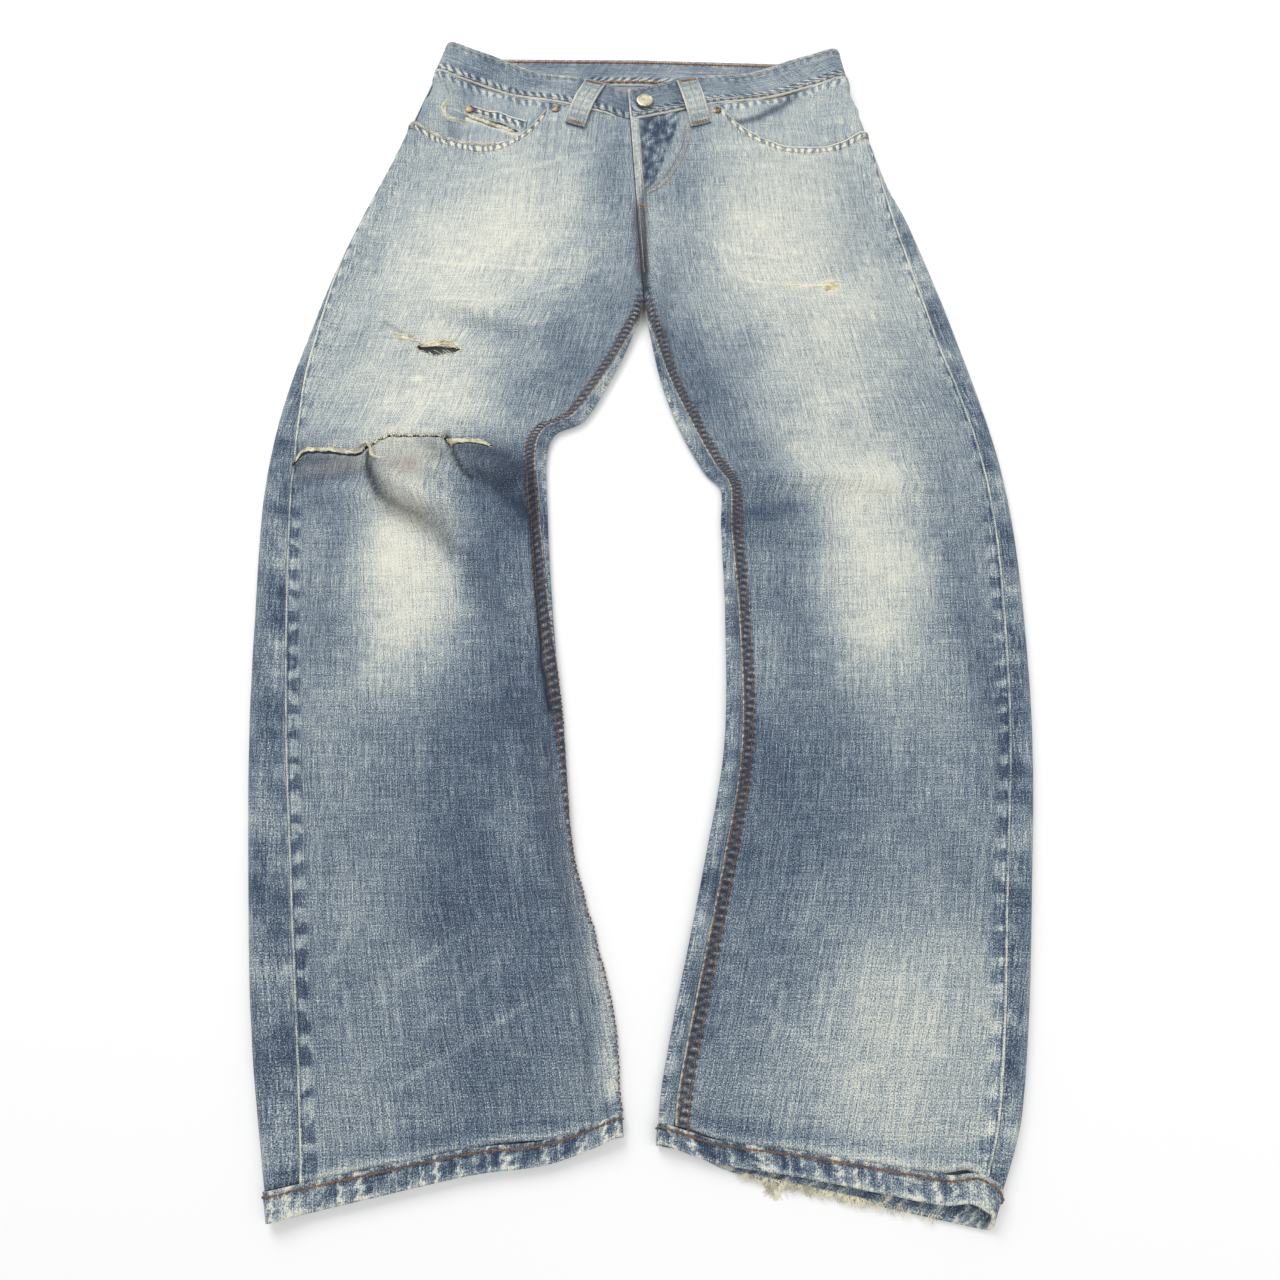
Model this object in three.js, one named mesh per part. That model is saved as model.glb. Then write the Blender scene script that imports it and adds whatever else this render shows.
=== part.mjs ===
// Ripped five-pocket jeans, laid flat on their back with the legs bowed apart.
// Millimetres, +Z up, +Y from the hems towards the waist. "Right" and "left" are the wearer's,
// so the right leg lies at -X. The origin is on the floor under the middle of the garment.
import * as THREE from "three";

// ---- Driving dimensions --------------------------------------------------------------------
const CLOTH = 1.2; // denim wall
const SEAM_GAP = 0.3; // between two pieces that are sewn edge to edge
const LAYER_GAP = 0.5; // between two pieces that lie on each other
const HEM_THICK = 2.6; // three turned layers
const HEM_HEIGHT = 15;
const BAND_THICK = 2.2; // the waistband is double
const BAND_LAP = 30; // the right end of the waistband runs this far under the left one
const SEAT_LIFT = 1.5; // the seat lies on its pockets and belt loops
const CROTCH = [4, 566]; // where the four leg seams meet, in plan
const POCKET_DEPTH = 102; // front pocket opening at the side seam
const POCKET_START = 0.39; // its inner end, as a share of the front's width
const BUTTON_RADIUS = 8.5;
const RIVET_RADIUS = 4.6;

// How each leg lies. `sections` go up the leg as [x, y, flat width, tilt in degrees] of the
// section's middle, where the tilt lifts its outer end. `outer` is the outer edge of the
// sections above the crotch. The seams are how far they lie in from the fold, over the cloth.
const LEGS = {
  right: {
    side: -1,
    sections: [
      [-123, -144, 227, -11.7], [-141, -52, 243, -4.7], [-166, 54, 235, -2],
      [-180, 152, 241, 1.2], [-192, 252, 241, 1.2], [-201, 350, 242, 0],
      [-202, 410, 241, 4.8], [-195, 451, 249, 13.5], [-177, 490, 277, 23],
      [-156, 552, 296, 25], [-141, 600, 303, 27.5],
    ],
    outer: [[-260, 722], [-246, 770], [-233, 822], [-220, 868], [-210, 908]],
    inseam: [-9, -9, -8, -3, 3, 8, 11, 12, 11, 7, 3],
    outseam: [22, 30, 30, 28, 25, 23, 19, 12, 7, 3, 1, 0, 0, 0, 0, 0],
    scoop: 3.4,
  },
  left: {
    side: 1,
    sections: [
      [115, -152, 212, -10.9], [133, -97, 235, -5.5], [166, 52, 236, -1.2],
      [183, 145, 236, 2.4], [190, 242, 241, 1.2], [192, 330, 246, 2.3],
      [191, 382, 245, 8.2], [180, 423, 261, 18.5], [164, 477, 277, 22.2],
      [149, 537, 287, 25.9], [136, 600, 288, 28.5],
    ],
    outer: [[250, 708], [240, 756], [231, 806], [221, 857], [215, 897]],
    inseam: [11, 12, 14, 14, 12, 9, 9, 12, 13, 9, 4],
    outseam: [11, 15, 18, 17, 16, 15, 15, 16, 18, 17, 14, 8, 3, 0, 0, 0],
    scoop: 2.8,
  },
};
// Centre seams above the crotch: how far up each one the sections stand, and the cloth's roll
// at the edges. The last two are the waist seam and the top of the waistband.
const FRONT_CENTRE = [566, 625, 700, 796, 838];
const BACK_CENTRE = [566, 650, 745, 866, 906];
const EDGE_ROLL = [3.4, 3, 3, 3, 3, 3, 3, 3, 3.2, 3.5, 4, 4.5, 5.5, 6.5, 8.5, 10];
// How far the front has sunk on to the back between the rolls, from 0 to 1.
const SUNK = [1, 1, 1, 1, 1, 1, 1, 1, 1, 0.95, 0.9, 0.75, 0.55, 0.35, 0.15, 0.1];

// Large folds of the upper cloth as [x, y, half length, half width, degrees, height].
const FOLDS = [
  [-170, 560, 130, 75, 105, 4.5], // fullness of the thighs
  [160, 560, 130, 75, 75, 4.5],
  [-110, 720, 80, 60, 20, 3.5], // and of the hips
  [110, 720, 80, 60, -20, 3.5],
  [-205, 425, 85, 20, 3, 5], // cloth standing above the knee tear
  [-198, 358, 48, 10, -45, 5], // two creases that run down from it
  [-214, 338, 42, 9, -45, -2],
  [-118, 378, 42, 10, -30, 5],
  [-140, 352, 40, 10, -35, -2.5],
  [162, 372, 95, 13, -3, 5], // fold across the left knee
  [162, 344, 90, 12, -3, -2.5],
  [-92, 265, 80, 9, 97, -3], // groove beside the right leg's inner edge
  [-76, 170, 50, 8, 100, 2.5],
  [16, 590, 42, 13, 86, 4], // left thigh rolling over at the crotch
  [-150, 40, 120, 55, 80, 3],
  [165, 40, 120, 55, 100, 3],
  [-40, -60, 70, 14, 100, 2.5],
  [-122, 862, 48, 34, 8, -9.5], // the waistband sinks between its corners and its loops
  [122, 860, 48, 34, -8, -9.5],
  [0, 835, 45, 40, 0, -3],
];

// ---- Laying the cloth out ------------------------------------------------------------------
const rad = Math.PI / 180;
const clamp = (x, low, high) => Math.min(high, Math.max(low, x));
const mix = (a, b, t) => a + (b - a) * t;
const smooth = (x) => { const t = clamp(x, 0, 1); return t * t * (3 - 2 * t); };

// A smooth curve through values given at rising knots.
function curve(knots, values) {
  const last = knots.length - 1;
  const slope = (i) => {
    const a = Math.max(0, i - 1);
    const b = Math.min(last, i + 1);
    return (values[b] - values[a]) / (knots[b] - knots[a]);
  };
  return (v) => {
    let i = 0;
    while (i < last - 1 && v > knots[i + 1]) i++;
    const h = knots[i + 1] - knots[i];
    const t = (v - knots[i]) / h;
    const t2 = t * t;
    const t3 = t2 * t;
    return (2 * t3 - 3 * t2 + 1) * values[i] + (t3 - 2 * t2 + t) * h * slope(i)
      + (3 * t2 - 2 * t3) * values[i + 1] + (t3 - t2) * h * slope(i + 1);
  };
}

function drape(x, y) {
  let z = 0;
  for (const [fx, fy, length, width, degrees, height] of FOLDS) {
    const c = Math.cos(degrees * rad);
    const s = Math.sin(degrees * rad);
    const along = ((x - fx) * c + (y - fy) * s) / length;
    const across = ((y - fy) * c - (x - fx) * s) / width;
    z += height * Math.exp(-(along * along + across * across));
  }
  return z;
}

const seatLift = (y) => SEAT_LIFT * smooth((y - 510) / 60);

// One leg and its half of the hips as a flattened tube. A place on it is (s, v): s is how far
// round the cloth, from the inner fold over the top; v is how far up from the hem.
function layLeg({ side, sections, outer, inseam, outseam }) {
  const inner = sections.map(([x, y, w, tilt]) =>
    [x - side * (w / 2) * Math.cos(tilt * rad), y - (w / 2) * Math.sin(tilt * rad)]);
  const outerEdge = sections.map(([x, y, w, tilt]) =>
    [x + side * (w / 2) * Math.cos(tilt * rad), y + (w / 2) * Math.sin(tilt * rad)]).concat(outer);
  const centreX = (y) => mix(CROTCH[0], -13, (y - CROTCH[1]) / 274);
  const backCentreX = (y) => mix(CROTCH[0], 0, (y - CROTCH[1]) / 340);
  const front = inner.concat(FRONT_CENTRE.map((y) => [centreX(y), y]));
  const back = inner.concat(BACK_CENTRE.map((y) => [backCentreX(y), y]));
  const knots = [0];
  for (let i = 1; i < front.length; i++) {
    const dx = (front[i][0] + outerEdge[i][0] - front[i - 1][0] - outerEdge[i - 1][0]) / 2;
    const dy = (front[i][1] + outerEdge[i][1] - front[i - 1][1] - outerEdge[i - 1][1]) / 2;
    knots.push(knots[i - 1] + Math.hypot(dx, dy));
  }
  const pair = (list) => [0, 1].map((k) => curve(knots, list.map((p) => p[k])));
  const frontAt = pair(front);
  const backAt = pair(back);
  const outerAt = pair(outerEdge);
  const rollAt = curve(knots, EDGE_ROLL);
  const sunkAt = curve(knots, SUNK);
  const inseamAt = curve(knots, inseam.concat([0, 0, 0, 0, 0]));
  const outseamAt = curve(knots, outseam);
  const crotch = knots[sections.length];
  const waist = knots[sections.length + 3];
  const top = knots[sections.length + 4];
  const rise = (v) => smooth((v - crotch) / 45);

  // the section at v: both chords, their lengths, and the lengths along the loop
  function section(v) {
    const r = rollAt(v);
    const q = (Math.PI / 2) * r;
    const up = rise(v);
    const o = outerAt.map((g) => g(v));
    // above the crotch the two halves meet edge to edge along the centre line, so the section's
    // end stands back by the part of the roll that the panel no longer covers
    const edge = side * (SEAM_GAP / 2 + (CLOTH / 2) * Math.cos(up * Math.PI / 2));
    const turn = r * (1 - Math.cos(up * Math.PI / 2));
    const end = (at, line) => {
      const [x, y] = at.map((g) => g(v));
      const ex = v < crotch ? x + edge * smooth((v - crotch + 30) / 30) : line(y) + edge;
      const w = Math.hypot(o[0] - ex, o[1] - y);
      const d = [(o[0] - ex) / w, (o[1] - y) / w];
      return { p: [ex - d[0] * turn, y - d[1] * turn], d, w: w + turn };
    };
    const { p: f, d: df, w: wf } = end(frontAt, centreX);
    const { p: b, d: db, w: wb } = end(backAt, backCentreX);
    const turnStart = q + wf - 2 * r;
    const turnEnd = turnStart + 2 * q;
    const total = turnEnd + wb - 2 * r + q;
    return { r, q, up, f, b, o, df, db, wf, wb, turnStart, turnEnd, total };
  }

  // the middle of the cloth at (s, v); `half` is half the thickness of the piece there
  function point(s, v, half = CLOTH / 2) {
    const at = section(v);
    const { r, q, f, b, o, df, db, turnStart, turnEnd, total } = at;
    if (s < -q) s += total;
    if (s > total) s -= total;
    let x, y, z, weight = 0;
    if (s < q) {
      const angle = s / r;
      const d = r * (1 - Math.cos(angle));
      x = f[0] + df[0] * d;
      y = f[1] + df[1] * d;
      z = r + r * Math.sin(angle);
      weight = at.up * smooth(1 + angle);
    } else if (s < turnStart) {
      const d = r + s - q;
      x = f[0] + df[0] * d;
      y = f[1] + df[1] * d;
      z = 2 * r;
      const inside = mix(smooth((s - q) / 22), 1, at.up);
      weight = inside * smooth((turnStart - s) / 26);
    } else if (s < turnEnd) {
      const angle = (s - turnStart) / r;
      const k = angle / Math.PI;
      const dx = mix(df[0], db[0], k);
      const dy = mix(df[1], db[1], k);
      const d = -r + r * Math.sin(angle);
      x = o[0] + dx * d;
      y = o[1] + dy * d;
      z = r + r * Math.cos(angle);
    } else {
      const d = r + s - turnEnd;
      x = o[0] - db[0] * d;
      y = o[1] - db[1] * d;
      z = 0;
      if (s > total - q) {
        const angle = (s - total + q) / r;
        x = b[0] + db[0] * r * (1 - Math.sin(angle));
        y = b[1] + db[1] * r * (1 - Math.sin(angle));
        z = r - r * Math.cos(angle);
      }
    }
    if (weight > 0) {
      // the front lies on the back unless a fold holds it up
      const bed = 2 * half + 0.2 + 1.2 * (1 - smooth(v / 40));
      const free = z + weight * (sunkAt(v) * (bed - z) + drape(x, y)) - bed;
      const onBed = bed + (free + Math.sqrt(free * free + 1)) / 2;
      z = mix(z, onBed, smooth(weight * 3));
    }
    return new THREE.Vector3(x, y, half + seatLift(y) + z);
  }

  function place(s, v, out = 0, half = CLOTH / 2) {
    const e = 0.4;
    const along = point(s, v + e, half).sub(point(s, v - e, half));
    const across = point(s + e, v, half).sub(point(s - e, v, half));
    const n = across.cross(along).normalize().multiplyScalar(side);
    return { p: point(s, v, half).addScaledVector(n, out), n };
  }

  // where the seams run, as s
  const insideSeam = (v) => {
    const { q, up } = section(v);
    return v < crotch ? inseamAt(v) : up * q;
  };
  const sideSeam = (v) => {
    const { turnStart, q } = section(v);
    return turnStart + q - outseamAt(v);
  };
  const backEnd = (v) => {
    const { q, up, total } = section(v);
    return v < crotch ? total + inseamAt(v) : total - up * q;
  };
  return { side, section, point, place, insideSeam, sideSeam, backEnd, crotch, waist, top };
}

// ---- Turning laid points into solid cloth --------------------------------------------------
// `rows` holds the middle of the cloth as { p, n }; each place becomes two points, half the
// thickness either side, and open edges are closed by a rim. `missing` leaves a quad out.
function wall(rows, thickness, { closed = false, missing = () => false } = {}) {
  const count = rows[0].length;
  const quads = [];
  const columns = closed ? count : count - 1;
  for (let i = 0; i + 1 < rows.length; i++) {
    for (let j = 0; j < columns; j++) {
      if (missing(i, j)) continue;
      const k = (j + 1) % count;
      quads.push([i * count + j, i * count + k, (i + 1) * count + k, (i + 1) * count + j]);
    }
  }
  const places = rows.flat();
  const first = quads[Math.floor(quads.length / 2)].map((i) => places[i]);
  const facing = first[1].p.clone().sub(first[0].p).cross(first[3].p.clone().sub(first[0].p));
  if (facing.dot(first[0].n) < 0) quads.forEach((quad) => quad.reverse());

  const edges = new Map();
  for (const quad of quads) {
    for (let k = 0; k < 4; k++) edges.set(`${quad[k]},${quad[(k + 1) % 4]}`, [quad[k], quad[(k + 1) % 4]]);
  }
  const positions = [];
  for (const sign of [1, -1]) {
    for (const { p, n } of places) positions.push(...p.clone().addScaledVector(n, sign * thickness / 2));
  }
  const under = places.length;
  const index = [];
  const quadFace = (a, b, c, d) => index.push(a, b, c, a, c, d);
  for (const [a, b, c, d] of quads) {
    quadFace(a, b, c, d);
    quadFace(a + under, d + under, c + under, b + under);
  }
  // rims split on the same diagonal as the rim of the piece beside them
  for (const [a, b] of edges.values()) {
    if (edges.has(`${b},${a}`)) continue;
    if (places[a].p.y < places[b].p.y) quadFace(a, a + under, b + under, b);
    else quadFace(b, a, a + under, b + under);
  }
  // drop the points that no face uses
  const used = [...new Set(index)].sort((a, b) => a - b);
  const renumber = new Map(used.map((old, i) => [old, i]));
  const geometry = new THREE.BufferGeometry();
  const kept = used.flatMap((i) => positions.slice(3 * i, 3 * i + 3));
  geometry.setAttribute("position", new THREE.Float32BufferAttribute(kept, 3));
  geometry.setIndex(index.map((i) => renumber.get(i)));
  geometry.computeVertexNormals();
  return geometry;
}

// Row lines between guide lines. A line gives v for a share of the panel's width.
function rowLines(guides) {
  const lines = [guides[0].v];
  for (let g = 1; g < guides.length; g++) {
    const below = guides[g - 1].v;
    const { v, rows } = guides[g];
    for (let k = 1; k <= rows; k++) lines.push((p) => mix(below(p), v(p), k / rows));
  }
  return lines;
}

// Places along row lines; `columnsAt(v)` gives the s of every column, `shares` their shares.
function grid(leg, lines, columnsAt, shares, out = 0, half = CLOTH / 2) {
  return lines.map((line) => shares.map((share, j) => {
    const v = line(share);
    return leg.place(columnsAt(v)[j], v, out, half);
  }));
}

// ---- Assembly ------------------------------------------------------------------------------
const jeans = new THREE.Group();
jeans.name = "ripped_jeans";

const FINISH = {
  front: ["#9aa8b0", 0.95, 0],
  back: ["#7d8fa0", 0.95, 0],
  band: ["#a9b3b7", 0.95, 0],
  pocket: ["#b3b8b4", 0.95, 0],
  brass: ["#b5a97c", 0.45, 0.9],
  copper: ["#8d6a4f", 0.5, 0.85],
};

function add(name, geometry, [color, roughness, metalness]) {
  const material = new THREE.MeshStandardMaterial({ color, roughness, metalness });
  material.name = name;
  const mesh = new THREE.Mesh(geometry, material);
  mesh.name = name;
  jeans.add(mesh);
  return mesh;
}

const FRONT_SHARES = [0, 0.016, 0.032, 0.05, 0.075, 0.12, 0.17, 0.28, 0.39, 0.5, 0.585, 0.67, 0.78,
  0.89, 0.955, 0.98, 1];
const half = SEAM_GAP / 2;

// Top line of a front panel: the waist seam, then the scooped pocket edge.
const pocketLine = (leg, scoop) => (share) => {
  const u = clamp((share - POCKET_START) / (1 - POCKET_START), 0, 1);
  return leg.waist - SEAM_GAP - POCKET_DEPTH * (1 - (1 - u) ** scoop);
};
// The knee tear runs in from the side seam of the right leg, arched over the knee.
const TEAR_AT = 551;
const TEAR_INNER = 0.17;
const tearLine = (share) => TEAR_AT - 15 + 82 * (1 - share) - 62 * (1 - share) ** 2.2;
const tearOpening = (share) => 2 + 7 * Math.sin(Math.PI * clamp((share - 0.17) / 0.86, 0, 1));

const frontColumns = (leg, shares) => (v) => {
  const from = leg.insideSeam(v) + half;
  const to = leg.sideSeam(v) - half;
  return shares.map((share) => mix(from, to, share));
};

// The back panel rolls on to the top at both edges, so its columns follow the two rolls.
function backColumns(leg) {
  return (v) => {
    const { r, q, turnStart, turnEnd, total } = leg.section(v);
    const from = leg.sideSeam(v) + half;
    const to = leg.backEnd(v) - half;
    const list = [from, turnStart - 4, turnStart, turnStart + q / 2, turnStart + q,
      turnStart + 1.5 * q, turnEnd];
    for (const k of [0.25, 0.5, 0.75]) list.push(mix(turnEnd, total - q, k));
    list.push(total - q, total - q / 2, total, total + q / 2, total + q, to);
    const least = 1.6;
    for (let i = 1; i < list.length; i++) list[i] = Math.max(list[i], list[i - 1] + least);
    list[list.length - 1] = to;
    for (let i = list.length - 2; i > 0; i--) list[i] = Math.min(list[i], list[i + 1] - least);
    return list;
  };
}

const evenly = (count) => Array.from({ length: count }, (_, i) => i / (count - 1));

const legs = {};
for (const [name, spec] of Object.entries(LEGS)) {
  const leg = layLeg(spec);
  legs[name] = leg;
  const start = HEM_HEIGHT + SEAM_GAP;
  const topLine = pocketLine(leg, spec.scoop);
  const { crotch, waist } = leg;

  // front panel, torn across the right knee and worn through on the right thigh
  const torn = name === "right";
  const overKnee = torn ? [
    { v: (p) => tearLine(p) - tearOpening(p) / 2, rows: 10 },
    { v: (p) => tearLine(p) + tearOpening(p) / 2, rows: 1 },
    { v: () => 644, rows: 2 },
    { v: () => 660, rows: 1 },
  ] : [{ v: () => 500, rows: 10 }, { v: () => 560, rows: 3 }, { v: () => 650, rows: 2 }];
  const lines = rowLines([
    { v: () => start }, ...overKnee,
    { v: (p) => crotch + 20 * p, rows: 5 },
    { v: (p) => crotch + 45 + 10 * p, rows: 3 },
    { v: topLine, rows: 4 },
  ]);
  const missing = torn
    ? (i, j) => (i === 10 && FRONT_SHARES[j] >= TEAR_INNER) || (i === 13 && (j === 9 || j === 10))
    : undefined;
  const front = grid(leg, lines, frontColumns(leg, FRONT_SHARES), FRONT_SHARES);
  add(`front_${name}`, wall(front, CLOTH, { missing }), FINISH.front);

  // back panel and its yoke; the rows meet the front's rows at both seams
  const backAt = backColumns(leg);
  const backShares = evenly(backAt(300).length);
  const yokeLine = (p) => waist - mix(60, 46, p);
  const open = lines.length - 5; // the last row below which the two seams are those of a tube
  const seat = crotch + 45;
  const backLines = lines.map((line, i) => {
    if (i <= open) return (p) => mix(line(1), line(0), p);
    return (p) => mix(line(1), mix(seat, yokeLine(1), (i - open) / 5), p);
  });
  backLines.push((p) => yokeLine(p) - half);
  add(`back_${name}`, wall(grid(leg, backLines, backAt, backShares), CLOTH), FINISH.back);
  const yokeLines = rowLines([{ v: (p) => yokeLine(p) + half }, { v: () => waist - SEAM_GAP, rows: 2 }]);
  add(`yoke_${name}`, wall(grid(leg, yokeLines, backAt, backShares), CLOTH), FINISH.back);

  // turned hem, one ring round the leg
  const hemRows = [0, HEM_HEIGHT].map((v) => {
    const { q, turnStart, turnEnd, total } = leg.section(v);
    const around = [-q, -q / 2, 0, q / 2, q];
    for (const k of [0.25, 0.5, 0.75]) around.push(mix(q, turnStart, k));
    around.push(turnStart, turnStart + q / 2, turnStart + q, turnStart + 1.5 * q, turnEnd);
    for (const k of [0.33, 0.67]) around.push(mix(turnEnd, total - q, k));
    return around.map((s) => leg.place(s, v, 0, HEM_THICK / 2));
  });
  add(`hem_${name}`, wall(hemRows, HEM_THICK, { closed: true }), FINISH.front);

  // facing under the pocket opening; the right one carries the coin pocket above it
  const layer = CLOTH + LAYER_GAP;
  const facingShares = FRONT_SHARES.filter((share) => share > 0.25);
  const facingLines = rowLines([{ v: (p) => Math.min(topLine(p), waist - 22) - 14 },
    { v: () => waist - SEAM_GAP, rows: 3 }]);
  const facing = grid(leg, facingLines, frontColumns(leg, facingShares), facingShares, -layer * (torn ? 2 : 1));
  add(`facing_${name}`, wall(facing, CLOTH), FINISH.pocket);
  if (torn) {
    const coinShares = FRONT_SHARES.filter((share) => share > 0.45 && share < 0.8);
    const coinLines = rowLines([{ v: (p) => topLine(p) - 14 }, { v: () => waist - 34, rows: 3 }]);
    const coin = grid(leg, coinLines, frontColumns(leg, coinShares), coinShares, -layer);
    add("coin_pocket", wall(coin, CLOTH), FINISH.pocket);
  }
}

// Waistband: one strip from its right end, hidden under the left end, round the back.
{
  const bandHalf = BAND_THICK / 2;
  const rows = [0, 0.5, 1].map((k) => {
    const row = [];
    const height = (leg) => mix(leg.waist + SEAM_GAP / 2, leg.top, k);
    const drop = -(BAND_THICK + LAYER_GAP);
    const left = height(legs.left);
    const right = height(legs.right);
    const onLeft = legs.left.section(left);
    const onRight = legs.right.section(right);
    for (const d of [BAND_LAP, BAND_LAP / 2, 2]) row.push(legs.left.place(onLeft.q + d, left, drop, bandHalf));
    row.push(legs.right.place(onRight.q + 10, right, drop, bandHalf));
    row.push(legs.right.place(onRight.q + 24, right, 0, bandHalf));
    const halfBand = ({ q, turnStart, turnEnd, total }, from) => {
      const list = [];
      for (const t of [0.08, 0.16, 0.3, 0.5, 0.75]) list.push(mix(from, turnStart, t));
      for (const t of [0, 0.5, 1, 1.5, 2]) list.push(turnStart + t * q);
      for (const t of [0.33, 0.67]) list.push(mix(turnEnd, total - q, t));
      return list;
    };
    for (const s of halfBand(onRight, onRight.q + 24)) row.push(legs.right.place(s, right, 0, bandHalf));
    const a = legs.right.place(onRight.total - onRight.q, right, 0, bandHalf);
    const b = legs.left.place(onLeft.total - onLeft.q, left, 0, bandHalf);
    row.push({ p: a.p.clone().lerp(b.p, 0.5), n: a.n.clone().add(b.n).normalize() });
    for (const s of halfBand(onLeft, onLeft.q + 2).reverse()) row.push(legs.left.place(s, left, 0, bandHalf));
    row.push(legs.left.place(onLeft.q + half, left, 0, bandHalf));
    return row;
  });
  add("waistband", wall(rows, BAND_THICK), FINISH.band);
}

// Slanted front belt loops: [s, v] of the upper end and of the lower end on each leg.
const OVER_BAND = BAND_THICK + LAYER_GAP;
for (const [name, upper, lower] of [["right", 36, 64], ["left", 64, 75]]) {
  const leg = legs[name];
  const rows = [0, 0.2, 0.5, 0.8, 1].map((k) => {
    const v = mix(leg.top - 3, leg.waist - 25, k);
    const middle = mix(upper, lower, k) + leg.section(v).q;
    const out = OVER_BAND + 1.4 * Math.sin(Math.PI * k);
    return [-11, 0, 11].map((d) => leg.place(middle + d, v, out));
  });
  add(`loop_front_${name}`, wall(rows, CLOTH), FINISH.band);
}

// Flat pieces underneath: three belt loops and two patch pockets, face down on the floor.
const flat = (outline) => outline.map((row) => row.map(([x, y]) => (
  { p: new THREE.Vector3(x, y, CLOTH / 2), n: new THREE.Vector3(0, 0, -1) })));
for (const [name, x] of [["right", -112], ["centre", 1], ["left", 112]]) {
  const rows = [[[x - 8, 848], [x + 8, 848]], [[x - 8, 902], [x + 8, 902]]];
  add(`loop_back_${name}`, wall(flat(rows), CLOTH), FINISH.back);
}
for (const [name, side] of [["right", -1], ["left", 1]]) {
  const rows = [
    [[62, 640], [120, 622], [178, 656]],
    [[54, 786], [118, 792], [180, 800]],
  ].map((row) => row.map(([x, y]) => [side * x, y]));
  add(`back_pocket_${name}`, wall(flat(rows), CLOTH), FINISH.back);
}

// ---- Button and rivets ---------------------------------------------------------------------
// A turned disc standing on a piece of cloth, its axis along the cloth's normal.
function stud(name, profile, { p, n }, finish) {
  const outline = profile.map(([r, z]) => new THREE.Vector2(r, z));
  const geometry = new THREE.LatheGeometry(outline, 20);
  geometry.rotateX(Math.PI / 2);
  geometry.applyQuaternion(new THREE.Quaternion().setFromUnitVectors(new THREE.Vector3(0, 0, 1), n));
  geometry.translate(p.x, p.y, p.z);
  return add(name, geometry, finish);
}
const rivet = (r) => [[0, 0], [r, 0], [r, 0.5], [r * 0.6, 1.2], [0, 1.4]];
{
  const leg = legs.left;
  const v = mix(leg.waist, leg.top, 0.44);
  const place = leg.place(leg.section(v).q + 17, v, BAND_THICK / 2 + 0.6, BAND_THICK / 2);
  const r = BUTTON_RADIUS;
  const profile = [[0, 0], [5, 0], [5, 1], [r, 1.4], [r, 2.8], [r - 1.6, 3.4], [r - 2.4, 2.9], [0, 2.9]];
  stud("waist_button", profile, place, FINISH.brass);
}
for (const [name, share] of [["right", 0.36], ["left", 0.38]]) {
  const leg = legs[name];
  const v = leg.waist - 9;
  const s = mix(leg.insideSeam(v), leg.sideSeam(v), share);
  stud(`rivet_${name}`, rivet(RIVET_RADIUS), leg.place(s, v, CLOTH / 2 + 0.3), FINISH.copper);
}
{
  const leg = legs.right;
  const v = leg.waist - 42;
  const s = mix(leg.insideSeam(v), leg.sideSeam(v), 0.77);
  stud("rivet_coin", rivet(RIVET_RADIUS), leg.place(s, v, SEAM_GAP - CLOTH / 2 - LAYER_GAP), FINISH.copper);
}

// The origin goes to the floor under the middle of the garment's box.
const box = new THREE.Box3().setFromObject(jeans);
const shift = new THREE.Vector3((box.min.x + box.max.x) / 2, (box.min.y + box.max.y) / 2, box.min.z);
for (const mesh of jeans.children) mesh.geometry.translate(-shift.x, -shift.y, -shift.z);

export default jeans;
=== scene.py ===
import math
import bpy
import numpy as np
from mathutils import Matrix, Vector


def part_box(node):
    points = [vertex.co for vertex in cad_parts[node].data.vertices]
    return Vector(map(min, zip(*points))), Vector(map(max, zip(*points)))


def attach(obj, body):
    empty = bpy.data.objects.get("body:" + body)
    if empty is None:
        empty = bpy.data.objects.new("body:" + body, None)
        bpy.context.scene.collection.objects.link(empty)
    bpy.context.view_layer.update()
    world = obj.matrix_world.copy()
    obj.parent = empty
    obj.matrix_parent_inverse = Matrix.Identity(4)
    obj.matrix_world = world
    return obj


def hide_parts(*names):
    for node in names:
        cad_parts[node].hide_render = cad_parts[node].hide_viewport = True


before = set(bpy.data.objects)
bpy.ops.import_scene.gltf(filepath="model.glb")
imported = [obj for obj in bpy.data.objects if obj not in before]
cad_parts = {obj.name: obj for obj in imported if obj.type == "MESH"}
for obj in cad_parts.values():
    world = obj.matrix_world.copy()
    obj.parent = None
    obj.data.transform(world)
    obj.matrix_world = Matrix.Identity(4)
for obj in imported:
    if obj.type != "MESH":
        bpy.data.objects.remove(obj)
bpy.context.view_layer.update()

# ==== Front leg panels ======================================================================
# Two front panels of faded 14 oz slub denim, sewn to the backs along the inseam and the
# outseam. The jeans lie on their back with the legs bowed; the right knee is torn across and
# the right thigh is worn through. All sizes are in millimetres until a mesh is made.
CLOTH = 1.2
SEAM_GAP = 0.3
HEM_HEIGHT = 15
# the seat lies on the back pockets, which lift it a little
SEAT_LIFT = 1.5
# the crotch, and the tops of the centre front and the centre back
CROTCH = (4, 566)
FRONT_TOP = (-13, 840)
BACK_TOP = (0, 906)
# the scooped pocket opening: its depth below the waist, and the share of the front it starts at
POCKET_DEPTH = 102
POCKET_START = 0.39
# how wide a front is, near enough, at the thigh and at the hem
THIGH_WIDTH = 235
SHIN_WIDTH = 210

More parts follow.
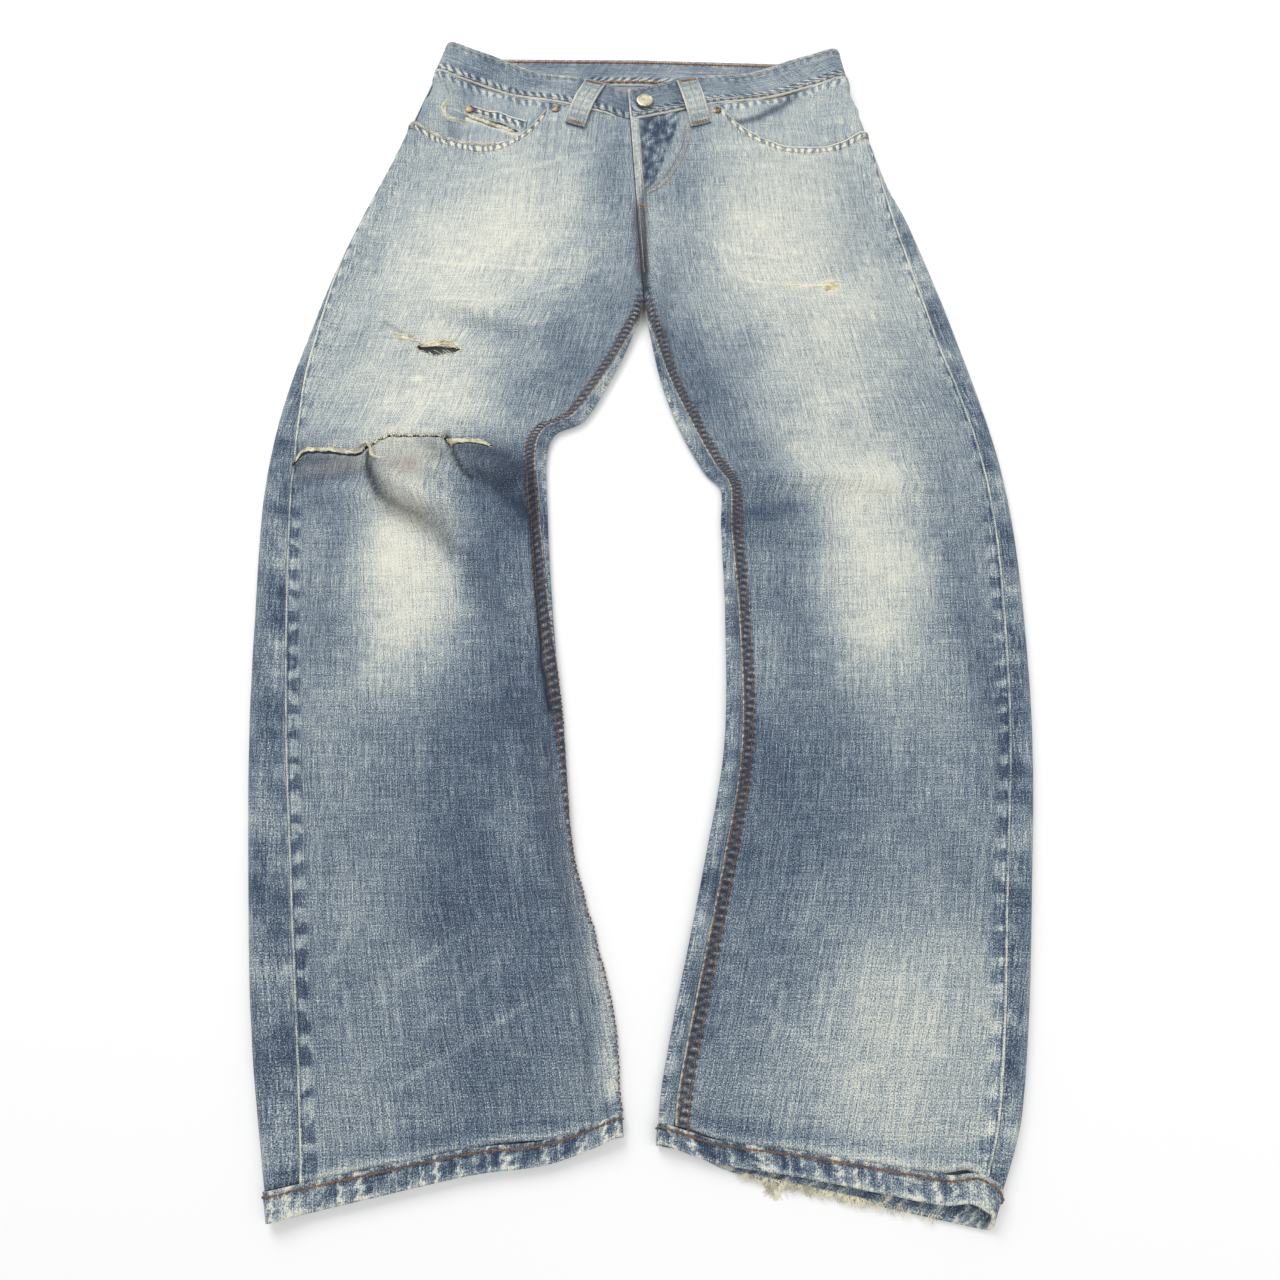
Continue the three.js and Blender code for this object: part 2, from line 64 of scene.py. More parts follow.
# the cut of each leg. sections: x, y, flat width and tilt in degrees of the leg's middle, from
# the hem up; outer: the hip's edge above them; inseam and outseam: how far in from the edges
# the seams lie; scoop: the power of the pocket's curve; grain: the warp's path, as y and x
LEGS = {
    "right": dict(
        side=-1,
        sections=[
            (-123, -144, 227, -11.7), (-141, -52, 243, -4.7), (-166, 54, 235, -2),
            (-180, 152, 241, 1.2), (-192, 252, 241, 1.2), (-201, 350, 242, 0),
            (-202, 410, 241, 4.8), (-195, 451, 249, 13.5), (-177, 490, 277, 23),
            (-156, 552, 296, 25), (-141, 600, 303, 27.5),
        ],
        outer=[(-260, 722), (-246, 770), (-233, 822), (-220, 868), (-210, 908)],
        inseam=[-9, -9, -8, -3, 3, 8, 11, 12, 11, 7, 3],
        outseam=[22, 30, 30, 28, 25, 23, 19, 12, 7, 3, 1, 0, 0, 0, 0, 0],
        scoop=3.4,
        grain=[
            (-160, -120), (50, -166), (250, -192), (400, -204), (500, -188), (620, -160),
            (900, -128),
        ],
    ),
    "left": dict(
        side=1,
        sections=[
            (115, -152, 212, -10.9), (133, -97, 235, -5.5), (166, 52, 236, -1.2),
            (183, 145, 236, 2.4), (190, 242, 241, 1.2), (192, 330, 246, 2.3),
            (191, 382, 245, 8.2), (180, 423, 261, 18.5), (164, 477, 277, 22.2),
            (149, 537, 287, 25.9), (136, 600, 288, 28.5),
        ],
        outer=[(250, 708), (240, 756), (231, 806), (221, 857), (215, 897)],
        inseam=[11, 12, 14, 14, 12, 9, 9, 12, 13, 9, 4],
        outseam=[11, 15, 18, 17, 16, 15, 15, 16, 18, 17, 14, 8, 3, 0, 0, 0],
        scoop=2.8,
        grain=[(-160, 112), (50, 166), (250, 190), (400, 194), (500, 178), (620, 152), (900, 122)],
    ),
}
# heights up the centre front and the centre back that go with the hip's outer edge
FRONT_CENTRE = (566, 625, 700, 796, 838)
BACK_CENTRE = (566, 650, 745, 866, 906)
# from the hem up: the radius of the rolled edges, and how far the front sinks on to the back
EDGE_ROLL = (3.4, 3, 3, 3, 3, 3, 3, 3, 3.2, 3.5, 4, 4.5, 5.5, 6.5, 8.5, 10)
SUNK = (1, 1, 1, 1, 1, 1, 1, 1, 1, 0.95, 0.9, 0.75, 0.55, 0.35, 0.15, 0.1)

# large folds: x, y, half length, half width, degrees, height
FOLDS = [
    (-170, 560, 130, 75, 105, 4.5), (160, 560, 130, 75, 75, 4.5),
    (-110, 720, 80, 60, 20, 3.5), (110, 720, 80, 60, -20, 3.5),
    (-205, 425, 85, 20, 3, 5), (-198, 358, 48, 10, -45, 5), (-214, 338, 42, 9, -45, -2),
    (-118, 378, 42, 10, -30, 5), (-140, 352, 40, 10, -35, -2.5),
    (162, 372, 95, 13, -3, 5), (162, 344, 90, 12, -3, -2.5),
    (-92, 265, 80, 9, 97, -3), (-76, 170, 50, 8, 100, 2.5), (16, 590, 42, 13, 86, 4),
    (-150, 40, 120, 55, 80, 3), (165, 40, 120, 55, 100, 3), (-40, -60, 70, 14, 100, 2.5),
    (-122, 862, 48, 34, 8, -9.5), (122, 860, 48, 34, -8, -9.5), (0, 835, 45, 40, 0, -3),
]
# smaller creases, in the same form
CREASES = [
    # fullness pushed up below the torn knee, and the two deep creases that run down from the tear
    (-212, 352, 66, 42, -30, 6), (-234, 388, 15, 4, 96, -5), (-223, 364, 16, 4.5, -58, -6),
    (-190, 345, 28, 7, -33, -6), (-152, 327, 28, 10, -25, -5), (-206, 340, 34, 5, -24, 3.5),
    (-262, 362, 30, 12, -10, 3), (-184, 380, 26, 13, -58, 4.5), (-162, 396, 18, 3.4, -62, -5),
    (-143, 376, 16, 4, -48, -5), (-106, 350, 34, 9, -46, -4.5), (-122, 378, 26, 9, -38, 4),
    # the groove beside the right leg's inner edge
    (-96, 316, 30, 4, 98, -5), (-86, 258, 42, 4, 98, -5), (-77, 196, 34, 4, 98, -5),
    (-70, 148, 20, 3.6, 95, -5), (-108, 250, 95, 11, 98, 3), (-66, 132, 7, 5, 30, -4),
    # left knee and shin
    (160, 378, 90, 8, -2, 2.5), (110, 352, 42, 6, 12, -3), (210, 353, 46, 7, 3, -2.5),
    (92, 318, 40, 6, -20, -2), (84, 180, 46, 9, 78, 2), (88, 140, 12, 5, 20, -2.5),
    # thighs and hips
    (-156, 536, 46, 9, -18, -3), (-140, 552, 46, 9, -16, 2.5), (-100, 575, 60, 7, 26, 1.6),
    (90, 590, 60, 8, -24, 1.8), (40, 640, 46, 8, -40, 1.6), (-46, 640, 46, 8, 42, 1.6),
    (-150, 764, 60, 7, 2, 1.4), (112, 752, 50, 8, -4, 1.4), (14, 560, 40, 10, 84, 2.5),
    # lower legs
    (-120, -50, 80, 9, 32, 1.8), (-150, 20, 50, 8, 36, 1.5), (115, -66, 40, 7, -38, 1.8),
    (-250, 200, 90, 12, 88, 1.6), (258, 150, 90, 11, 93, 1.6), (-56, 70, 60, 9, 100, 2.2),
]


def smooth(x):
    """A soft step, from 0 at 0 to 1 at 1."""
    t = np.clip(x, 0, 1)
    return t * t * (3 - 2 * t)


def hump(x, middle, width, power=2):
    """1 at the middle, falling softly to 0 about two widths away."""
    return np.exp(-((x - middle) / width) ** power)


def unit(v):
    return v / np.linalg.norm(v, axis=-1, keepdims=True)


def mix(a, b, t):
    return a + (b - a) * t


def curve(knots, values):
    """A smooth curve through values at rising knots."""
    k = np.asarray(knots, float)
    y = np.asarray(values, float)
    low = np.maximum(np.arange(len(k)) - 1, 0)
    high = np.minimum(np.arange(len(k)) + 1, len(k) - 1)
    slope = (y[high] - y[low]) / (k[high] - k[low])

    def at(v):
        i = np.clip(np.searchsorted(k, v, side="left") - 1, 0, len(k) - 2)
        h = k[i + 1] - k[i]
        t = (v - k[i]) / h
        t2, t3 = t * t, t * t * t
        return ((2 * t3 - 3 * t2 + 1) * y[i] + (t3 - 2 * t2 + t) * h * slope[i]
                + (3 * t2 - 2 * t3) * y[i + 1] + (t3 - t2) * h * slope[i + 1])
    return at


def folded(x, y, folds):
    """Height of the folds at (x, y)."""
    z = np.zeros_like(x)
    for fx, fy, length, width, degrees, height in folds:
        c, s = math.cos(math.radians(degrees)), math.sin(math.radians(degrees))
        along = ((x - fx) * c + (y - fy) * s) / length
        across = ((y - fy) * c - (x - fx) * s) / width
        z += height * np.exp(-(along ** 2 + across ** 2))
    return z


def seat_lift(y):
    return SEAT_LIFT * smooth((y - 510) / 60)


def centre_line(top):
    """The x of the straight line from the crotch up to a top, at a height y."""
    return lambda y: mix(CROTCH[0], top[0], (y - CROTCH[1]) / (top[1] - CROTCH[1]))


class Leg:
    """A leg and its half of the hips as a flattened tube. A place on it is (s, v): s is how far
    round the cloth from the inner fold, over the top; v is how far up from the hem."""

    def __init__(self, side, sections, outer, inseam, outseam, scoop, grain):
        self.side, self.scoop, self.grain = side, scoop, grain
        x, y, w, tilt = (np.array(c, float) for c in zip(*sections))
        dx, dy = w / 2 * np.cos(np.radians(tilt)), w / 2 * np.sin(np.radians(tilt))
        self.centre_x, self.back_centre_x = centre_line(FRONT_TOP), centre_line(BACK_TOP)
        upper = np.array(outer, float)
        edge = np.r_[np.c_[x + side * dx, y + dy], upper]
        inner = np.c_[x - side * dx, y - dy]
        fc, bc = np.array(FRONT_CENTRE, float), np.array(BACK_CENTRE, float)
        front = np.r_[inner, np.c_[self.centre_x(fc), fc]]
        back = np.r_[inner, np.c_[self.back_centre_x(bc), bc]]
        middle = (front + edge) / 2
        knots = np.r_[0, np.cumsum(np.hypot(*np.diff(middle, axis=0).T))]
        n = len(sections)
        self.crotch, self.waist, self.top = knots[n], knots[n + 3], knots[n + 4]
        self.front_at = [curve(knots, front[:, k]) for k in (0, 1)]
        self.back_at = [curve(knots, back[:, k]) for k in (0, 1)]
        self.outer_at = [curve(knots, edge[:, k]) for k in (0, 1)]
        self.roll_at = curve(knots, EDGE_ROLL)
        self.sunk_at = curve(knots, SUNK)
        self.inseam_at = curve(knots, list(inseam) + [0] * 5)
        self.outseam_at = curve(knots, outseam)

    def section(self, v):
        """The flattened ring at v: its rolls, its front and back ends, and its lengths round."""
        r = self.roll_at(v)
        q = math.pi / 2 * r
        up = smooth((v - self.crotch) / 45)
        o = [g(v) for g in self.outer_at]
        gap = self.side * (SEAM_GAP / 2 + CLOTH / 2 * np.cos(up * math.pi / 2))
        turn = r * (1 - np.cos(up * math.pi / 2))

        def end(at, line):
            x, y = at[0](v), at[1](v)
            near = smooth((v - self.crotch + 30) / 30)
            ex = np.where(v < self.crotch, x + gap * near, line(y) + gap)
            w = np.hypot(o[0] - ex, o[1] - y)
            dx, dy = (o[0] - ex) / w, (o[1] - y) / w
            return (ex - dx * turn, y - dy * turn), (dx, dy), w + turn
        f, df, wf = end(self.front_at, self.centre_x)
        b, db, wb = end(self.back_at, self.back_centre_x)
        start = q + wf - 2 * r
        finish = start + 2 * q
        total = finish + wb - 2 * r + q
        return dict(r=r, q=q, up=up, f=f, df=df, b=b, db=db, o=o, start=start, finish=finish,
                    total=total)

    def point(self, s, v, half=CLOTH / 2):
        """The middle of a cloth that is twice `half` thick."""
        a = self.section(v)
        r, q, up, start, finish, total = (a[k] for k in ("r", "q", "up", "start", "finish", "total"))
        (fx, fy), (dfx, dfy) = a["f"], a["df"]
        (bx, by), (dbx, dby) = a["b"], a["db"]
        ox, oy = a["o"]
        s = np.where(s < -q, s + total, s)
        s = np.where(s > total, s - total, s)
        inner, flat, turn = s < q, (s >= q) & (s < start), (s >= start) & (s < finish)
        bottom = s >= finish
        last = bottom & (s > total - q)
        # up round the inner edge and over the front
        t = s / r
        d = np.where(inner, r * (1 - np.cos(t)), r + s - q)
        x, y = fx + dfx * d, fy + dfy * d
        z = np.where(inner, r + r * np.sin(t), 2 * r)
        weight = np.where(inner, up * smooth(1 + t), 0)
        inside = mix(smooth((s - q) / 22), 1, up)
        weight = np.where(flat, inside * smooth((start - s) / 26), weight)
        # down round the outer edge
        t = (s - start) / r
        k = t / math.pi
        d = -r + r * np.sin(t)
        x = np.where(turn, ox + mix(dfx, dbx, k) * d, x)
        y = np.where(turn, oy + mix(dfy, dby, k) * d, y)
        z = np.where(turn, r + r * np.cos(t), z)
        # along the bottom, and up to the inner edge again
        d = r + s - finish
        x = np.where(bottom, ox - dbx * d, x)
        y = np.where(bottom, oy - dby * d, y)
        z = np.where(bottom, 0, z)
        t = (s - total + q) / r
        x = np.where(last, bx + dbx * r * (1 - np.sin(t)), x)
        y = np.where(last, by + dby * r * (1 - np.sin(t)), y)
        z = np.where(last, r - r * np.cos(t), z)
        # the front lies on the back unless a fold holds it up
        bed = 2 * half + 0.2 + 1.2 * (1 - smooth(v / 40))
        free = z + weight * (self.sunk_at(v) * (bed - z) + folded(x, y, FOLDS + CREASES)) - bed
        on_bed = bed + (free + np.sqrt(free * free + 1)) / 2
        z = mix(z, on_bed, smooth(weight * 3))
        return np.stack([x, y, half + seat_lift(y) + z], -1)

    def place(self, s, v, out=0.0, half=CLOTH / 2):
        """The middle of the cloth and its normal, moved out by `out`."""
        s, v = np.broadcast_arrays(np.asarray(s, float), np.asarray(v, float))
        e = 0.4
        along = self.point(s, v + e, half) - self.point(s, v - e, half)
        across = self.point(s + e, v, half) - self.point(s - e, v, half)
        n = unit(np.cross(across, along) * self.side)
        return self.point(s, v, half) + n * np.asarray(out)[..., None], n

    def inside_seam(self, v):
        a = self.section(v)
        return np.where(v < self.crotch, self.inseam_at(v), a["up"] * a["q"])

    def side_seam(self, v):
        a = self.section(v)
        return a["start"] + a["q"] - self.outseam_at(v)

    def back_end(self, v):
        a = self.section(v)
        return np.where(v < self.crotch, a["total"] + self.inseam_at(v), a["total"] - a["up"] * a["q"])

    def across(self, share, v):
        """How far round a share of the front lies, from the inner seam to the outer one."""
        return mix(self.inside_seam(v), self.side_seam(v), share)

    def share_of(self, s, v):
        inner = self.inside_seam(v)
        return (s - inner) / (self.side_seam(v) - inner)

    def threads(self, places):
        """Where places are across the warp and along it; the warp runs down the leg's middle."""
        y, x = np.array(self.grain, float).T
        middle = curve(y, x)(places[..., 1])
        return places[..., 0] - middle - self.side * places[..., 2], places[..., 1] * 1.02

    def pocket_line(self, share):
        """The height of the pocket opening's edge."""
        u = np.clip((share - POCKET_START) / (1 - POCKET_START), 0, 1)
        return self.waist - SEAM_GAP - POCKET_DEPTH * (1 - (1 - u) ** self.scoop)


legs = {name: Leg(**spec) for name, spec in LEGS.items()}
# the frame has its origin under the middle of the garment; the lay has the centre back loop
# at (1, 875)
low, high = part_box("loop_back_centre")
SHIFT = np.array([(low.x + high.x) * 500 - 1, (low.y + high.y) * 500 - 875, 0])

# how worn each leg is, with painted shade mixed in, at heights v: at the inner seam, the peak, the
# outer seam (0 is unworn indigo, 1 is bare cream yarn), and the peak's place and half width as shares of
# the panel
LEG_WEAR_AND_SHADE = {
    "right": [
        (0, .53, .62, .69, .7, .5), (50, .42, .52, .5, .7, .4), (95, .38, .5, .36, .7, .25),
        (200, .28, .46, .44, .8, .3), (300, .2, .46, .44, .65, .35), (350, .22, .66, .42, .5, .26),
        (400, .24, .88, .38, .46, .24), (450, .18, .88, .38, .5, .22), (500, .16, .84, .36, .5, .22),
        (540, .32, .82, .45, .55, .25), (600, .55, .9, .68, .52, .27), (640, .44, .86, .66, .5, .25),
        (705, .38, .9, .65, .57, .27), (755, .46, .94, .64, .57, .28), (820, .48, .97, .64, .48, .27),
        (880, .52, .84, .6, .42, .28), (945, .55, .68, .66, .45, .4), (1040, .55, .66, .66, .45, .4),
    ],
    "left": [
        (0, .37, .68, .55, .6, .35), (60, .4, .74, .54, .6, .35), (105, .38, .72, .52, .62, .3),
        (200, .3, .46, .4, .7, .3), (290, .18, .45, .38, .6, .3), (340, .26, .6, .42, .55, .26),
        (390, .33, .92, .48, .5, .2), (475, .22, .86, .42, .53, .22), (525, .3, .94, .48, .47, .26),
        (590, .38, .86, .5, .45, .28), (640, .42, .82, .6, .5, .3), (700, .4, .88, .64, .6, .3),
        (755, .38, .9, .58, .5, .3), (820, .52, .93, .58, .5, .32), (880, .54, .84, .66, .5, .4),
        (945, .52, .78, .7, .6, .4), (1040, .52, .78, .7, .6, .4),
    ],
}
# paler and darker lines in the wear, in the form of the folds; some darker ones are painted shade
WEAR_AND_SHADE_LINES = [
    (110, 760, 40, 3.4, 5, .1), (160, 700, 50, 3, -12, .08), (240, 606, 42, 3, 10, .08),
    # fine pale lines low on the legs
    (-150, -13, 38, 2.4, 32, .17), (-150, -85, 28, 2.4, 30, .17), (-95, -52, 32, 2.4, 31, .17),
    (-211, -4, 14, 2.4, 68, .17), (-128, -38, 40, 2.2, 40, .1), (112, -66, 32, 2.4, -38, .16),
    (150, -82, 20, 2.4, 10, .12), (120, 20, 30, 2.2, 60, .08), (-110, 190, 30, 2.4, 24, .1),
    # darker blue at the hips' outer edges, beside the fly and inside both knees, and painted shade
    # in creases at both knees and the right thigh and under the torn edge
    (-30, 720, 90, 22, 92, -.12), (48, 690, 110, 26, 80, -.12), (-70, 520, 90, 26, 60, -.1),
    (60, 470, 120, 24, 118, -.12), (-250, 800, 60, 30, 70, -.1), (-132, 250, 120, 24, 96, -.1),
    (-150, 150, 60, 80, 0, -.05), (98, 205, 60, 18, 90, .2), (-203, 264, 58, 26, 90, .2),
    (-214, 300, 40, 18, 80, .1), (-135, -20, 130, 30, 88, -.09), (-92, -100, 50, 40, 0, -.12),
    (-96, 95, 50, 16, 90, .13), (262, 240, 70, 12, 90, -.12), (-120, 384, 44, 14, -36, -.1),
    (-98, 345, 40, 16, -50, -.1), (-156, 540, 40, 10, -18, -.14), (-262, 376, 40, 8, 8, -.3),
    (112, 342, 40, 10, 10, -.2), (176, -39, 60, 60, 90, .1), (-90, -30, 90, 30, 80, -.08),
    # round the right knee and thigh, then round the left knee, then low on the legs
    (-155, 312, 30, 18, 90, .16), (-90, 294, 40, 14, 90, .14), (-89, 258, 24, 14, 90, .08),
    (-280, 290, 50, 20, 90, .14), (-217, 298, 26, 24, 0, .12), (-210, 215, 26, 30, 0, .1),
    (-157, 453, 30, 26, 0, .13), (-221, 416, 26, 14, 0, .12), (-92, 509, 24, 22, 0, .08),
    (98, 294, 30, 24, 0, .12), (162, 294, 34, 26, 0, .14), (225, 294, 34, 26, 0, .1),
    (225, 370, 30, 18, 0, .13), (276, 215, 40, 10, 90, -.12), (-136, 26, 30, 26, 0, -.1),
    (237, -39, 40, 12, 90, .14), (28, -99, 24, 14, 90, .1),
    # a small patch on the left thigh and a spot on the right, worn to the weft
    (181, 583, 8, 7, 0, .5), (158, 584, 20, 1.8, 0, .35), (-203, 479, 4, 3, 0, .5),
]
# creases and worn lines as paths: places, then width, painted shade and wear at the start and end,
# and how deep the crease is
CREASE_PATHS = [
    # from the flap of the tear down and across the knee, with painted shade in the crease
    ([(-239, 400), (-236, 383), (-230, 369), (-221, 356), (-206, 345), (-186, 335), (-169, 323),
      (-156, 306)],
     (2.2, 11), (1.1, 0.36), (0, -0.08), 1.2),
    # from the middle of the tear towards the inner edge, with painted shade in the creases
    ([(-171, 416), (-163, 399), (-155, 384), (-146, 376)], (2.4, 2.4), (1.2, 1.1), (0, 0), 1.2),
    ([(-150, 384), (-130, 371), (-109, 353), (-92, 336)], (5, 8), (0.3, 0.5), (-0.05, -0.1), 1),
    ([(-145, 376), (-143, 360)], (1.2, 1), (0.8, 0.3), (0, 0), 0),
    # painted shade in the groove beside the inner edge and in the folds beside it
    ([(-93, 338), (-88, 299), (-85, 270), (-81, 238), (-79, 210), (-74, 186), (-70, 165)],
     (2.4, 2.0), (0.9, 0.9), (-0.1, -0.1), 1),
    ([(-148, 299), (-132, 270), (-114, 248)], (9, 9), (0.15, 0.1), (-0.1, -0.08), 0),
    ([(-112, 381), (-94, 371), (-90, 350)], (10, 8), (0.55, 0.5), (-0.05, 0), 0),
    # painted shade in a nick above the hole in the thigh
    ([(-239, 543), (-228, 535), (-216, 527)], (1.7, 1.2), (0.5, 0.35), (0, 0), 0.4),
    # painted shadow under the torn edge, painted shade with less wear right of the crease, and a
    # pale worn line along the ridge below the crease, partly painted highlight
    ([(-303, 388), (-292, 393), (-272, 393), (-252, 392)], (6, 9), (0.55, 0.4), (-0.1, 0), 0),
    ([(-193, 411), (-180, 405), (-172, 398)], (5, 8), (0.3, 0.4), (0, 0), 0),
    ([(-157, 405), (-130, 398), (-108, 384)], (9, 15), (0.5, 0.42), (-0.12, -0.12), 0),
    ([(-222, 331), (-206, 333), (-190, 333)], (1.6, 1.4), (0, 0), (0.2, 0.1), 0),
    # the pale inner strip low on the right leg, with painted shade in the fold beside it
    ([(-62, 130), (-52, 80), (-39, 26), (-24, -39), (-18, -93)], (5, 8), (0, 0), (0.1, 0.38), 0),
    ([(-66, 60), (-52, 10), (-40, -40), (-34, -90)], (3, 3), (0.1, 0.25), (0, 0), 1),
    # whiskers over the thighs
    ([(-233, 619), (-188, 613), (-143, 607), (-90, 607), (-55, 619), (-31, 636)],
     (1.8, 1.6), (0, 0), (0.15, 0.1), 0),
    ([(-193, 568), (-152, 566), (-106, 573), (-66, 590), (-37, 609)],
     (1.8, 1.6), (0, 0), (0.14, 0.12), 0),
    ([(-116, 539), (-76, 550), (-42, 564)], (1.6, 1.6), (0, 0), (0.12, 0.14), 0),
    ([(-169, 717), (-141, 726), (-107, 732), (-83, 743), (-45, 756)], (2, 2), (0, 0), (0.1, 0.12), 0),
    ([(8, 672), (35, 658), (65, 640), (94, 626), (138, 619)], (1.4, 1.6), (0, 0), (0.16, 0.14), 0),
    ([(82, 617), (93, 601), (107, 590), (139, 585)], (1.6, 1.6), (0, 0), (0.12, 0.1), 0),
    # painted shade down the fold of the crotch, with less wear
    ([(3, 720), (5, 660), (5, 621), (6, 575)], (2.4, 3.2), (0.35, 0.75), (-0.1, -0.2), 1),
]


def near_path(x, y, path, width):
    """How near places are to a path, and how far along it: 1 on the path and 0 away from it."""
    near, along = np.zeros_like(x), np.zeros_like(x)
    path = np.array(path, float)
    for i in range(len(path) - 1):
        step = path[i + 1] - path[i]
        t = np.clip(((x - path[i, 0]) * step[0] + (y - path[i, 1]) * step[1]) / (step @ step), 0, 1)
        gap = np.hypot(x - path[i, 0] - t * step[0], y - path[i, 1] - t * step[1])
        share = (i + t) / (len(path) - 1)
        here = hump(gap, 0, mix(*width, share))
        along = np.where(here > near, share, along)
        near = np.maximum(here, near)
    return near, along


def creased(x, y):
    """Depth, painted shade and wear of the creases that run along paths."""
    depth, dark, wear = np.zeros_like(x), np.zeros_like(x), np.zeros_like(x)
    for path, width, painted_shade, worn_by, deep in CREASE_PATHS:
        near, along = near_path(x, y, path, width)
        depth = depth - deep * near
        dark = np.maximum(dark, near * mix(*painted_shade, along))
        wear = wear + near * mix(*worn_by, along)
    return depth, dark, wear


def worn(name, share, v):
    """The wear, with painted shade mixed in, at a share of the width and a height v of a leg."""
    chart = np.array(LEG_WEAR_AND_SHADE[name], float)
    inner, peak, outer, where, wide = (np.interp(v, chart[:, 0], chart[:, k]) for k in range(1, 6))
    edge = mix(inner, outer, smooth(share))
    return edge + (peak - mix(inner, outer, smooth(where))) * hump(share, where, wide)


def wander(t, lengths, amount, draw):
    """A random, smooth wandering along t with the given wavelengths."""
    total = np.zeros_like(np.asarray(t, float))
    for length in lengths:
        total += np.sin(t * 2 * math.pi / length + draw.uniform(0, 6.3)) * draw.uniform(0.5, 1)
    return total * amount / len(lengths)


def ripple(x, y, amount, draw):
    """The slight unevenness of washed cloth."""
    total = np.zeros_like(x)
    for length in (90, 61, 44, 33, 25, 19):
        turn = draw.uniform(0, math.pi)
        total += np.sin((x * math.cos(turn) + y * math.sin(turn)) * 2 * math.pi / length
                        + draw.uniform(0, 6.3)) * length ** 0.6
    return total * amount / 9


def spacing(width, fine=1.5, open_cloth=3.1, margin=16):
    """Shares across a width, close together beside both edges."""
    edge = np.arange(0, margin, fine)
    middle = np.linspace(margin, width - margin, max(2, round((width - 2 * margin) / open_cloth)))
    return np.r_[edge, middle, (width - edge)[::-1]] / width


def rows_between(lines, counts):
    """Row heights between guide lines, each an array over the columns."""
    rows = [lines[0][None]]
    for below, above, count in zip(lines, lines[1:], counts):
        steps = np.arange(1, count + 1)[:, None] / count
        rows.append(below + (above - below) * steps)
    return np.concatenate(rows)


# what the finish reads where a piece has no rope along its seams, no dirt and no shadow
UNMARKED = dict(rope=0, course=0, grime=0, shade=0)


def made(name, places, faces, finish):
    """A piece of the garment, made of places in millimetres; it rides on the one body."""
    mesh = bpy.data.meshes.new(name)
    mesh.from_pydata(((places + SHIFT) / 1000).tolist(), [], faces)
    mesh.shade_smooth()
    mesh.materials.append(finish)
    piece = bpy.data.objects.new(name, mesh)
    bpy.context.collection.objects.link(piece)
    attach(piece, "root")
    return piece


def cloth(name, finish, slot, places, normals, thickness, across, along, marks,
          keep=None, ring=False, lining=1.0):
    """A closed shell round a grid of places. across and along are the cloth's own lengths, and
    marks the values its finish reads at each place. Only the kept squares of the grid are made,
    and lining is how much of the unfaded inside of the cloth its lower face shows."""
    rows, count = places.shape[:2]
    keep = np.ones((rows - 1, count if ring else count - 1), bool) if keep is None else keep
    i, j = np.nonzero(keep)
    k = (j + 1) % count
    quads = np.stack([i * count + j, i * count + k, (i + 1) * count + k, (i + 1) * count + j], 1)
    flat = places.reshape(-1, 3)
    # the faces point the way the normals do
    a, b, _, d = quads[len(quads) // 2]
    if np.dot(np.cross(flat[b] - flat[a], flat[d] - flat[a]), normals.reshape(-1, 3)[a]) < 0:
        quads = quads[:, ::-1]
    # a strip of cloth closes the shell along every edge that has a face on one side only
    starts = quads.reshape(-1)
    ends = np.roll(quads, -1, 1).reshape(-1)
    size = rows * count
    border = ~np.isin(starts * size + ends, ends * size + starts)
    s, e = starts[border], ends[border]
    rim = np.stack([e, s, s + size, e + size], 1)
    faces = np.concatenate([quads, quads[:, ::-1] + size, rim])
    n = normals.reshape(-1, 3) * (np.asarray(thickness) / 2).reshape(-1, 1)
    used, renumbered = np.unique(faces, return_inverse=True)
    points = np.concatenate([flat + n, flat - n])[used]
    piece = made(name, points, renumbered.reshape(-1, 4).tolist(), finish)
    mesh = piece.data

    def both_faces(values):
        return np.tile(np.broadcast_to(values, (rows, count)).reshape(-1), 2)[used]

    finish_reads = {mark: both_faces(values) for mark, values in {**UNMARKED, **marks}.items()}
    finish_reads["inside"] = np.repeat([0.0, lining], size)[used]
    for mark, values in finish_reads.items():
        mesh.attributes.new(mark, "FLOAT", "POINT").data.foreach_set("value", values)
    corners = np.empty(len(mesh.loops), int)
    mesh.loops.foreach_get("vertex_index", corners)
    lengths = np.stack([both_faces(across), both_faces(along)], -1) / 1000
    mesh.uv_layers.new(name="cloth").uv.foreach_set("vector", lengths[corners].reshape(-1))
    return piece


def flat_size(places):
    """Width, length and area, in metres, of the cloth that a grid of places lays out."""
    step_across = np.linalg.norm(np.diff(places, axis=1), axis=-1)
    step_along = np.linalg.norm(np.diff(places, axis=0), axis=-1)
    width = step_across.sum(1).max() / 1000
    length = step_along.sum(0).max() / 1000
    area = (step_across[:-1] * (step_along[:, :-1] + step_along[:, 1:]) / 2).sum() / 1e6
    return (width, length), min(area, width * length)


def laid(node, places):
    """Hide the solid that a sheet of cloth stands for; how large it was cut is worked out but not kept.
    """
    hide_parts(node)
    size, area = flat_size(places)


def srgb(*levels):
    """A colour given as 0 to 255 sRGB values."""
    line = [c / 255 / 12.92 if c <= 10 else ((c / 255 + 0.055) / 1.055) ** 2.4 for c in levels]
    return (*line, 1)


